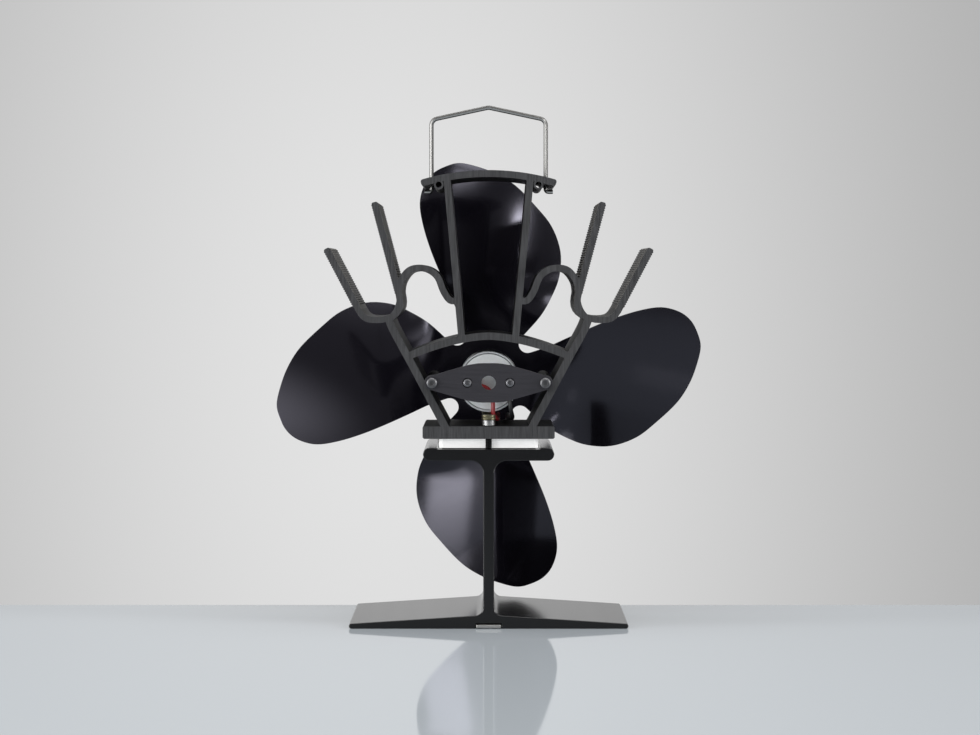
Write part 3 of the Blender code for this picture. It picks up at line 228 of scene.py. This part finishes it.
def toned(tree, color, tone):
    """The colour made lighter and darker by a tone round 1."""
    node = linked(tree, "ShaderNodeVectorMath", [("Scale", tone)], [(0, color)], operation="SCALE")
    return node.outputs["Vector"]


def bumped(tree, shader, height, depth):
    """Raises the shader's surface by a height from 0 to 1, times a depth in metres."""
    bump = linked(tree, "ShaderNodeBump", [("Height", height)], [("Distance", depth)])
    tree.links.new(bump.outputs["Normal"], shader.inputs["Normal"])


def grained_finish(name, color, roughness, metallic=0.0, ior=1.5, stretch=(1, 1, 1), scale=300.0,
                   detail=3.0, contrast=0.25, depth=0.00003):
    """A finish whose colour, roughness and surface vary with one grain."""
    material, tree, shader = new_finish(name, color, roughness, metallic, ior)
    grain = place_grain(tree, stretch, scale, detail, contrast)
    tree.links.new(toned(tree, color, grain.outputs["Tone"]), shader.inputs["Base Color"])
    tree.links.new(worked_out(tree, "MULTIPLY", grain.outputs["Tone"], roughness),
                   shader.inputs["Roughness"])
    bumped(tree, shader, grain.outputs["Height"], depth)
    return material


def rounding_group():
    """Geometry nodes that join the CAD facets of a node and shade its round faces smooth."""
    group = bpy.data.node_groups.new("Round faces", "GeometryNodeTree")
    group.interface.new_socket("Geometry", in_out="INPUT", socket_type="NodeSocketGeometry")
    group.interface.new_socket("Geometry", in_out="OUTPUT", socket_type="NodeSocketGeometry")
    given = group.nodes.new("NodeGroupInput").outputs["Geometry"]
    joined = linked(group, "GeometryNodeMergeByDistance", [("Geometry", given)],
                    [("Distance", JOIN_DISTANCE)])
    smooth = linked(group, "GeometryNodeSetShadeSmooth", [("Geometry", joined.outputs["Geometry"])],
                    domain="FACE")
    angle = group.nodes.new("GeometryNodeInputMeshEdgeAngle").outputs["Unsigned Angle"]
    round_edge = linked(group, "FunctionNodeCompare", [("A", angle)],
                        [("B", math.radians(SMOOTH_BELOW_DEG))], operation="LESS_THAN")
    edges = linked(group, "GeometryNodeSetShadeSmooth",
                   [("Geometry", smooth.outputs["Geometry"]),
                    ("Shade Smooth", round_edge.outputs["Result"])], domain="EDGE")
    linked(group, "NodeGroupOutput", [("Geometry", edges.outputs["Geometry"])])
    return group


round_faces = rounding_group()


def break_edges(obj, width, above_deg=BEVEL_ABOVE_DEG):
    """Small rounded edges that catch the light, with the flat faces kept flat."""
    bevel = obj.modifiers.new("edges", "BEVEL")
    bevel.width = width
    bevel.segments = BEVEL_SEGMENTS
    bevel.limit_method = "ANGLE"
    bevel.angle_limit = math.radians(above_deg)
    weights = obj.modifiers.new("weights", "WEIGHTED_NORMAL")
    weights.keep_sharp = True


def dress(node, material, edge=0.0, flat_faces=False):
    """Gives a CAD node its finish, smooth shading and, with edge, softly broken edges of that width.
    With flat_faces, the facets of each flat face are joined first."""
    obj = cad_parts[node]
    obj.data.materials.clear()
    obj.data.materials.append(material)
    shading = obj.modifiers.new("round faces", "NODES")
    shading.node_group = round_faces
    if flat_faces:
        flats = obj.modifiers.new("flats", "DECIMATE")
        flats.decimate_type = "DISSOLVE"
        flats.angle_limit = math.radians(FLAT_BELOW_DEG)
    if edge:
        break_edges(obj, edge)


black_anodised = grained_finish("black_anodised", STAND_BLACK, 0.15, stretch=(12, 0.4, 12), scale=14.0,
                                detail=2.0, contrast=0.12, depth=0.000002)
dress("stand", black_anodised, STAND_EDGE, flat_faces=True)

# Bimetal strip and rivet: a bright strip in a slot under the foot, held by one rivet.
# It bends with heat and tips the fan off a stove that is too hot.
STRIP_EDGE = 0.00008
strip_steel = grained_finish("strip_steel", (0.55, 0.54, 0.52), 0.32, metallic=1.0, stretch=(1, 30, 1),
                             scale=60.0, contrast=0.2)
dress("bimetal_strip", strip_steel, STRIP_EDGE, flat_faces=True)
dress("strip_rivet", strip_steel, STRIP_EDGE)

# Thermoelectric module: two white ceramic plates with grey pellets between, in a white silicone seal.
# It lies in the shallow pocket of the flange and the sink presses on it. The silicone has a painted
# glow that stands in for light coming through it.
SEAL_PAINTED_GLOW = 0.34
SEAL_EDGE = 0.00015
PLATE_EDGE = 0.0001
white_ceramic = grained_finish("white_ceramic", (0.80, 0.80, 0.78), 0.55, scale=900.0, contrast=0.06)
white_seal = grained_finish("white_seal", (0.94, 0.94, 0.93), 0.50, scale=500.0, contrast=0.05,
                            depth=0.00006)
seal_shader = white_seal.node_tree.nodes["Principled BSDF"]
# Painted glow: the seal's emission stands in for light coming through the thin silicone.
seal_shader.inputs["Emission Color"].default_value = (1, 1, 1, 1)
seal_shader.inputs["Emission Strength"].default_value = SEAL_PAINTED_GLOW
pellet_grey = grained_finish("pellet_grey", (0.30, 0.30, 0.32), 0.6, metallic=0.3, scale=700.0)
dress("module_hot_plate", white_ceramic, PLATE_EDGE, flat_faces=True)
dress("module_cold_plate", white_ceramic, PLATE_EDGE, flat_faces=True)
dress("module_pellets", pellet_grey, PLATE_EDGE, flat_faces=True)
dress("module_seal", white_seal, SEAL_EDGE, flat_faces=True)

# Heat sink: one forked aluminium extrusion, anodised black after it was sawn to length.
# The sawn ends stay grey and finely lined. It stands for the CAD sink, with the fine ridges that the
# die draws along the sides of its fins.
SAWN_COLOR = (0.041, 0.041, 0.043)
SIDE_COLOR = (0.012, 0.012, 0.0125)
# The sides of the outer, ridged fins get a paler colour: a painted sheen.
FIN_SIDE_PAINTED_SHEEN = (0.072, 0.068, 0.062)
SAW_MARKS = {"stretch": (50, 1, 3), "scale": 30.0, "detail": 3.0, "contrast": 1.10}
DIE_LINES = {"stretch": (40, 1, 40), "scale": 20.0, "detail": 3.0, "contrast": 0.20}
SAW_MARK_DEPTH = 0.00010
DIE_LINE_DEPTH_SHARE = 0.2
SAWN_ROUGHNESS = 0.55
SIDE_ROUGHNESS = 0.50
SINK_IOR = 1.35
SAWN_FROM_FACING = 0.80
ALL_SAWN_FROM_FACING = 0.95
RIDGE_PITCH = 0.00105
RIDGE_HEIGHT = 0.00035
RIDGED_ABOVE_Z = 0.136
RIDGED_BEYOND_X = 0.036
RIDGED_LENGTH = 0.020
DRAWN_NORMAL_Y = 0.01
SINK_EDGE = 0.0001
SINK_BEVEL_ABOVE_DEG = 75


def sawn_and_drawn_finish():
    """Pale sawn faces across the extrusion, darker drawn faces along it, and the sides of the ridged fins
    painted paler as a painted sheen.
    """
    material, tree, shader = new_finish("sawn_anodised", SAWN_COLOR, SAWN_ROUGHNESS, ior=SINK_IOR)
    cut = place_grain(tree, **SAW_MARKS)
    side = place_grain(tree, **DIE_LINES)
    normal = tree.nodes.new("ShaderNodeNewGeometry").outputs["Normal"]
    parts = linked(tree, "ShaderNodeSeparateXYZ", [("Vector", normal)])
    facing = worked_out(tree, "ABSOLUTE", parts.outputs["Y"])
    is_cut = linked(tree, "ShaderNodeMapRange", [("Value", facing)],
                    [("From Min", SAWN_FROM_FACING),
                     ("From Max", ALL_SAWN_FROM_FACING)]).outputs["Result"]
    place = tree.nodes.new("ShaderNodeTexCoord").outputs["Object"]
    place_parts = linked(tree, "ShaderNodeSeparateXYZ", [("Vector", place)])
    aside = worked_out(tree, "ABSOLUTE", place_parts.outputs["X"])
    sheen_fin_mask = worked_out(tree, "MULTIPLY", worked_out(tree, "GREATER_THAN", aside, RIDGED_BEYOND_X),
                        worked_out(tree, "GREATER_THAN", place_parts.outputs["Z"], RIDGED_ABOVE_Z))
    # The drawn sides of the outer, ridged fins are painted paler: a painted sheen.
    drawn = linked(tree, "ShaderNodeMix",
                   [("Factor", sheen_fin_mask), ("A", toned(tree, SIDE_COLOR, side.outputs["Tone"])),
                    ("B", toned(tree, FIN_SIDE_PAINTED_SHEEN, side.outputs["Tone"]))], data_type="RGBA")
    color = linked(tree, "ShaderNodeMix",
                   [("Factor", is_cut), ("A", drawn.outputs["Result"]),
                    ("B", toned(tree, SAWN_COLOR, cut.outputs["Tone"]))], data_type="RGBA")
    tree.links.new(color.outputs["Result"], shader.inputs["Base Color"])
    side_height = worked_out(tree, "MULTIPLY", side.outputs["Height"], DIE_LINE_DEPTH_SHARE)
    height = linked(tree, "ShaderNodeMix",
                    [("Factor", is_cut), ("A", side_height), ("B", cut.outputs["Height"])])
    bumped(tree, shader, height.outputs["Result"], SAW_MARK_DEPTH)
    rough = linked(tree, "ShaderNodeMapRange", [("Value", is_cut)],
                   [("To Min", SIDE_ROUGHNESS), ("To Max", SAWN_ROUGHNESS)])
    tree.links.new(rough.outputs["Result"], shader.inputs["Roughness"])
    return material


def is_fin_side(face):
    """Whether a face is one long flat side of a fin."""
    drawn = abs(face.normal.y) < DRAWN_NORMAL_Y and len(face.verts) == 4
    length = max((edge.verts[0].co.xz - edge.verts[1].co.xz).length for edge in face.edges)
    middle = face.calc_center_median()
    on_fin = middle.z > RIDGED_ABOVE_Z and abs(middle.x) > RIDGED_BEYOND_X
    return drawn and on_fin and length > RIDGED_LENGTH


def ridged_sink():
    """The CAD sink's form with the sides of its fins folded into fine ridges along the extrusion."""
    bm = bmesh.new()
    bm.from_mesh(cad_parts["heat_sink"].data)
    bmesh.ops.remove_doubles(bm, verts=bm.verts, dist=JOIN_DISTANCE)
    bmesh.ops.dissolve_limit(bm, angle_limit=math.radians(FLAT_BELOW_DEG), verts=bm.verts, edges=bm.edges)
    for face in [face for face in bm.faces if is_fin_side(face)]:
        outward = face.normal.copy()
        across = [edge for edge in face.edges if abs(edge.verts[0].co.y - edge.verts[1].co.y) < RIDGE_PITCH]
        ridges = round(across[0].calc_length() / RIDGE_PITCH)
        corners = set(face.verts)
        cut = bmesh.ops.subdivide_edges(bm, edges=across, cuts=2 * ridges - 1, use_grid_fill=True)
        added = {item for item in cut["geom_inner"] if isinstance(item, bmesh.types.BMVert)} - corners
        for y in {round(vert.co.y, 5) for vert in added}:
            row = sorted((vert for vert in added if abs(vert.co.y - y) < RIDGE_PITCH),
                         key=lambda vert: vert.co.z)
            for vert in row[::2]:
                vert.co += outward * RIDGE_HEIGHT
    bmesh.ops.recalc_face_normals(bm, faces=bm.faces)
    mesh = bpy.data.meshes.new("ridged_heat_sink")
    bm.to_mesh(mesh)
    bm.free()
    sink = bpy.data.objects.new("ridged_heat_sink", mesh)
    bpy.context.scene.collection.objects.link(sink)
    shading = sink.modifiers.new("round faces", "NODES")
    shading.node_group = round_faces
    break_edges(sink, SINK_EDGE, SINK_BEVEL_ABOVE_DEG)
    return sink


sawn_anodised = sawn_and_drawn_finish()
heat_sink = ridged_sink()
heat_sink.data.materials.append(sawn_anodised)
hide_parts("heat_sink")
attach(heat_sink, "frame")

# Clamp bolts: two yellow-zinc steel bolts on steel bushes, before and behind the module.
# They draw the sink down on the module and screw into the stem of the stand.
HEAD_ZINC = (0.15, 0.14, 0.09)
SHANK_PAINTED_SHADE = (0.012, 0.012, 0.012)
THREADS_PER_METRE = 900.0
THREAD_DEPTH = 0.0001
BOLT_EDGE = 0.00012
shank_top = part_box("clamp_bush_rear")[0][2]


def bolt_finish():
    """Dull yellow zinc on the head, and the thread below the bush painted dark as shade."""
    material, tree, shader = new_finish("yellow_zinc", HEAD_ZINC, 0.40, metallic=0.9)
    grain = place_grain(tree, stretch=(1, 1, 1), scale=700.0, detail=3.0, contrast=0.3)
    place = tree.nodes.new("ShaderNodeTexCoord").outputs["Object"]
    height = linked(tree, "ShaderNodeSeparateXYZ", [("Vector", place)]).outputs["Z"]
    is_head = worked_out(tree, "GREATER_THAN", height, shank_top)
    color = linked(tree, "ShaderNodeMix",
                   [("Factor", is_head), ("B", toned(tree, HEAD_ZINC, grain.outputs["Tone"]))],
                   data_type="RGBA")
    # The thread below the bush is painted near black: painted shade in the gap between the sink and the
    # flange.
    color.inputs["A"].default_value = (*SHANK_PAINTED_SHADE, 1)
    tree.links.new(color.outputs["Result"], shader.inputs["Base Color"])
    turns = worked_out(tree, "SINE", worked_out(tree, "MULTIPLY", height, THREADS_PER_METRE * math.tau))
    bumped(tree, shader, turns, THREAD_DEPTH)
    return material


yellow_zinc = bolt_finish()
bush_steel = grained_finish("bush_steel", (0.29, 0.29, 0.29), 0.38, metallic=1.0, scale=500.0,
                            contrast=0.3)
for place in ("rear", "front"):
    dress(f"clamp_bolt_{place}", yellow_zinc, BOLT_EDGE)
    dress(f"clamp_bush_{place}", bush_steel, BOLT_EDGE)

# Motor bracket: a lozenge plate sawn from a dark anodised bar, screwed to the sink's two bosses.
# It carries the motor by two small screws in counterbores, and its hole shows the motor's end.
BRACKET_EDGE = 0.0002
SCREW_EDGE = 0.0001
bracket_violet = grained_finish("bracket_violet", (0.022, 0.021, 0.026), 0.5, ior=1.4, stretch=(3, 1, 60),
                                scale=30.0, detail=4.0, contrast=0.35, depth=0.00008)
black_screw = grained_finish("black_screw", (0.13, 0.13, 0.135), 0.46, metallic=1.0, scale=900.0,
                             contrast=0.3)
dull_screw = grained_finish("dull_screw", (0.16, 0.16, 0.17), 0.40, metallic=1.0, scale=900.0, contrast=0.3)
plain_steel = grained_finish("plain_steel", (0.55, 0.55, 0.54), 0.30, metallic=1.0, scale=500.0,
                             contrast=0.2)
dress("motor_bracket", bracket_violet, BRACKET_EDGE, flat_faces=True)
for side in ("left", "right"):
    dress(f"bracket_screw_{side}", black_screw, SCREW_EDGE)
    dress(f"motor_screw_{side}", dull_screw, SCREW_EDGE)
    dress(f"motor_spacer_{side}", plain_steel, SCREW_EDGE)

# Motor: a small direct-current motor in a drawn steel can, with a pale moulded cap at its rear.
# Two tinned terminals stand out of the cap, and sintered bushes carry the shaft.
CAN_EDGE = 0.00015
TERMINAL_EDGE = 0.00005
can_zinc = grained_finish("can_zinc", (0.76, 0.79, 0.81), 0.36, metallic=0.35, scale=400.0, contrast=0.12)
pale_cap = grained_finish("pale_cap", (0.90, 0.93, 0.94), 0.45, scale=900.0, contrast=0.05)
sinter_bronze = grained_finish("sinter_bronze", (0.42, 0.26, 0.12), 0.45, metallic=0.9, scale=1200.0,
                               contrast=0.3)
tinned_brass = grained_finish("tinned_brass", (0.58, 0.52, 0.40), 0.35, metallic=1.0, scale=900.0,
                              contrast=0.2)
black_ferrite = grained_finish("black_ferrite", (0.05, 0.05, 0.055), 0.7, scale=900.0)
core_steel = grained_finish("core_steel", (0.25, 0.25, 0.26), 0.5, metallic=0.9, stretch=(1, 60, 1),
                            scale=60.0)
turned_copper = grained_finish("turned_copper", (0.60, 0.28, 0.15), 0.35, metallic=1.0, scale=700.0)
dress("motor_can", can_zinc, CAN_EDGE)
dress("motor_end_cap", pale_cap, CAN_EDGE)
for side in ("left", "right"):
    dress(f"motor_terminal_{side}", tinned_brass, TERMINAL_EDGE)
    dress(f"motor_magnet_{side}", black_ferrite)
for place in ("rear", "front"):
    dress(f"shaft_bush_{place}", sinter_bronze)
dress("motor_armature", core_steel)
dress("commutator", turned_copper)
dress("motor_shaft", plain_steel)

# Hub: a turned spindle pressed on the motor's shaft, with a flange, a stud and a domed nut.
# The propeller's flat middle is clamped between the flange and the nut.
HUB_EDGE = 0.00015
dress("hub_spindle", plain_steel, HUB_EDGE)
dress("hub_nut", plain_steel, HUB_EDGE)

# Propeller: four wide blades pressed from one sheet of aluminium, twisted and cupped, anodised black.
# It stands for the CAD sheet of the same form, with finer rows and softly broken edges.
BLADE_COUNT = 4
BLADE_THICKNESS = 0.0010
BLADE_EDGE = 0.0002
SEAT_GAP = 0.0003
BLADE_PITCH_DEG = 21.0
BLADE_TIP_PITCH_DEG = 15.0
BLADE_CUP = 0.0040
BLADE_TIP_CURL = 0.0042
FLAT_ROOT_SHARE = 0.20
FULL_PITCH_SHARE = 0.50
CURL_START_SHARE = 0.50
HALF_CHORD_SHARE = 0.3315
NOTCH_CENTRE_SHARE = 0.236
NOTCH_RADIUS_SHARE = 0.0416
NOTCH_TURN_DEG = -6.0
NOTCH_START_DEG = 246.0
NOTCH_END_DEG = 102.0
NOTCH_STEPS = 20
BORE_RADIUS = 0.0021
BORE_STEPS = 36
ROW_STEPS = 5
COLUMNS = 22
BLADE_BLACK = (0.0030, 0.0026, 0.0042)
BLADE_SHEEN = (0.86, 0.84, 1.0)

# Outline of one blade seen along the shaft, from root to tip, as shares of the propeller's radius:
# how far out, then how far to the trailing side of the blade's own axis.
TRAILING_EDGE_SHARES = ((0.175, 0.151), (0.279, 0.244), (0.373, 0.300), (0.468, 0.335), (0.586, 0.340),
                        (0.704, 0.298), (0.799, 0.222), (0.894, 0.128), (0.950, 0.038), (0.983, -0.052))
LEADING_EDGE_SHARES = ((0.194, -0.108), (0.279, -0.137), (0.373, -0.180), (0.468, -0.222),
                       (0.586, -0.270), (0.704, -0.307), (0.809, -0.323), (0.894, -0.303),
                       (0.950, -0.262), (0.983, -0.204))
TIP_SHARES = (1.000, -0.137)

sheet_low, sheet_high = (Vector(corner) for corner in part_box("propeller"))
propeller_radius = (sheet_high.x - sheet_low.x) / 2
axis_z = (sheet_high.z + sheet_low.z) / 2
sheet_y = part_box("hub_nut")[0][1] - SEAT_GAP - BLADE_THICKNESS / 2


def smooth_curve(knots, beyond, steps):
    """Points along a curve that passes through the knots without a corner and heads for beyond."""
    padded = [knots[0]] + list(knots) + [beyond]
    points = []
    for index in range(len(knots) - 1):
        before, start, end, after = (Vector(p) for p in padded[index:index + 4])
        for step in range(steps):
            t = step / steps
            leave = (end - before) / 2
            arrive = (after - start) / 2
            points.append(start * (2 * t ** 3 - 3 * t ** 2 + 1) + leave * (t ** 3 - 2 * t ** 2 + t)
                          + end * (3 * t ** 2 - 2 * t ** 3) + arrive * (t ** 3 - t ** 2))
    points.append(Vector(knots[-1]))
    return points


def blade_surface(out, across):
    """Y offset of the blade's sheet at a place in its outline: level at the hub, then pitched with the
    leading edge to the rear and cupped, with its tip curled forward."""
    share = out / propeller_radius
    rise = min(1, max(0, (share - FLAT_ROOT_SHARE) / (FULL_PITCH_SHARE - FLAT_ROOT_SHARE)))
    rise = rise * rise * (3 - 2 * rise)
    pitch = math.radians(BLADE_PITCH_DEG + (BLADE_TIP_PITCH_DEG - BLADE_PITCH_DEG) * share)
    half_chord = propeller_radius * HALF_CHORD_SHARE
    curl = BLADE_TIP_CURL * (max(0, share - CURL_START_SHARE) / (1 - CURL_START_SHARE)) ** 2
    return curl + rise * (BLADE_CUP * (across / half_chord) ** 2 + across * math.tan(pitch))


def blade_rows():
    """Rows of (out, across) points from the root to the tip, the last row all in one place."""
    edges = []
    for shares, other_shares in ((TRAILING_EDGE_SHARES, LEADING_EDGE_SHARES),
                                 (LEADING_EDGE_SHARES, TRAILING_EDGE_SHARES)):
        *knots, beyond = [(propeller_radius * a, propeller_radius * b)
                          for a, b in shares + (TIP_SHARES, other_shares[-1])]
        edges.append(smooth_curve(knots, beyond, ROW_STEPS))
    return [[trail.lerp(lead, column / COLUMNS) for column in range(COLUMNS + 1)]
            for trail, lead in zip(*edges)]


def ring_points(centre_x, centre_z, radius, start_deg, end_deg, steps):
    """Points at the sheet's level along an arc, without its two ends."""
    turns = [math.radians(start_deg + (end_deg - start_deg) * step / steps) for step in range(1, steps)]
    return [(centre_x + radius * math.cos(turn), sheet_y, centre_z + radius * math.sin(turn))
            for turn in turns]


def turned_out(out, across, turn):
    """The place on the pressed sheet of a point in the outline of the blade at that turn."""
    x = out * math.cos(turn) + across * math.sin(turn)
    z = out * math.sin(turn) - across * math.cos(turn)
    return x, sheet_y + blade_surface(out, across), axis_z + z


def pressed_propeller():
    """The sheet: a net of faces for each blade round a flat middle with four notches and a bore."""
    bm = bmesh.new()
    hub_ring = []
    rows = blade_rows()
    for blade in range(BLADE_COUNT):
        turn = math.tau * blade / BLADE_COUNT
        net = [[bm.verts.new(turned_out(*point, turn)) for point in row] for row in rows[:-1]]
        for inner, outer in zip(net, net[1:]):
            for column in range(COLUMNS):
                bm.faces.new((inner[column], inner[column + 1], outer[column + 1], outer[column]))
        tip = bm.verts.new(turned_out(*rows[-1][0], turn))
        for column in range(COLUMNS):
            bm.faces.new((net[-1][column], net[-1][column + 1], tip))
        hub_ring += net[0]
        middle = math.degrees(turn) + 180 / BLADE_COUNT + NOTCH_TURN_DEG
        away = propeller_radius * NOTCH_CENTRE_SHARE
        rim = ring_points(away * math.cos(math.radians(middle)),
                          axis_z + away * math.sin(math.radians(middle)),
                          propeller_radius * NOTCH_RADIUS_SHARE, middle + NOTCH_START_DEG,
                          middle + NOTCH_END_DEG, NOTCH_STEPS)
        hub_ring += [bm.verts.new(point) for point in rim]
    bore = [bm.verts.new(point) for point in ring_points(0, axis_z, BORE_RADIUS, 0, 360, BORE_STEPS)]
    edges = []
    for ring in (hub_ring, bore):
        for index, vert in enumerate(ring):
            pair = (ring[index - 1], vert)
            edges.append(bm.edges.get(pair) or bm.edges.new(pair))
    bmesh.ops.triangle_fill(bm, use_beauty=True, use_dissolve=False, edges=edges, normal=(0, 1, 0))
    bmesh.ops.recalc_face_normals(bm, faces=bm.faces)
    mesh = bpy.data.meshes.new("pressed_propeller")
    bm.to_mesh(mesh)
    bm.free()
    mesh.shade_smooth()
    propeller = bpy.data.objects.new("pressed_propeller", mesh)
    bpy.context.scene.collection.objects.link(propeller)
    sheet = propeller.modifiers.new("sheet", "SOLIDIFY")
    sheet.thickness = BLADE_THICKNESS
    sheet.offset = 0
    break_edges(propeller, BLADE_EDGE)
    return propeller


blade_black = grained_finish("blade_black", BLADE_BLACK, 0.135, scale=120.0, contrast=0.06,
                             depth=0.000001)
blade_black.node_tree.nodes["Principled BSDF"].inputs["Specular Tint"].default_value = (*BLADE_SHEEN, 1)
propeller = pressed_propeller()
propeller.data.materials.append(blade_black)
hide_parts("propeller")
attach(propeller, "rotor")

# Handle: a bail bent from one stainless wire, free to slide in two holes of the sink's top plate.
# Short toes turned outwards keep it from pulling out.
bright_wire = grained_finish("bright_wire", (0.37, 0.365, 0.355), 0.24, metallic=1.0, stretch=(1, 1, 0.2),
                             scale=300.0, contrast=0.03, depth=0.0000005)
dress("handle", bright_wire)

# Leads: a red and a black insulated wire from the motor's terminals to the module.
# They run down behind the motor, then forward over the sink's plate and round its end to the module.
red_insulation = grained_finish("red_insulation", (0.36, 0.018, 0.024), 0.38, scale=500.0, contrast=0.08)
black_insulation = grained_finish("black_insulation", (0.02, 0.02, 0.022), 0.38, scale=500.0, contrast=0.1)
dress("red_lead", red_insulation)
dress("black_lead", black_insulation)
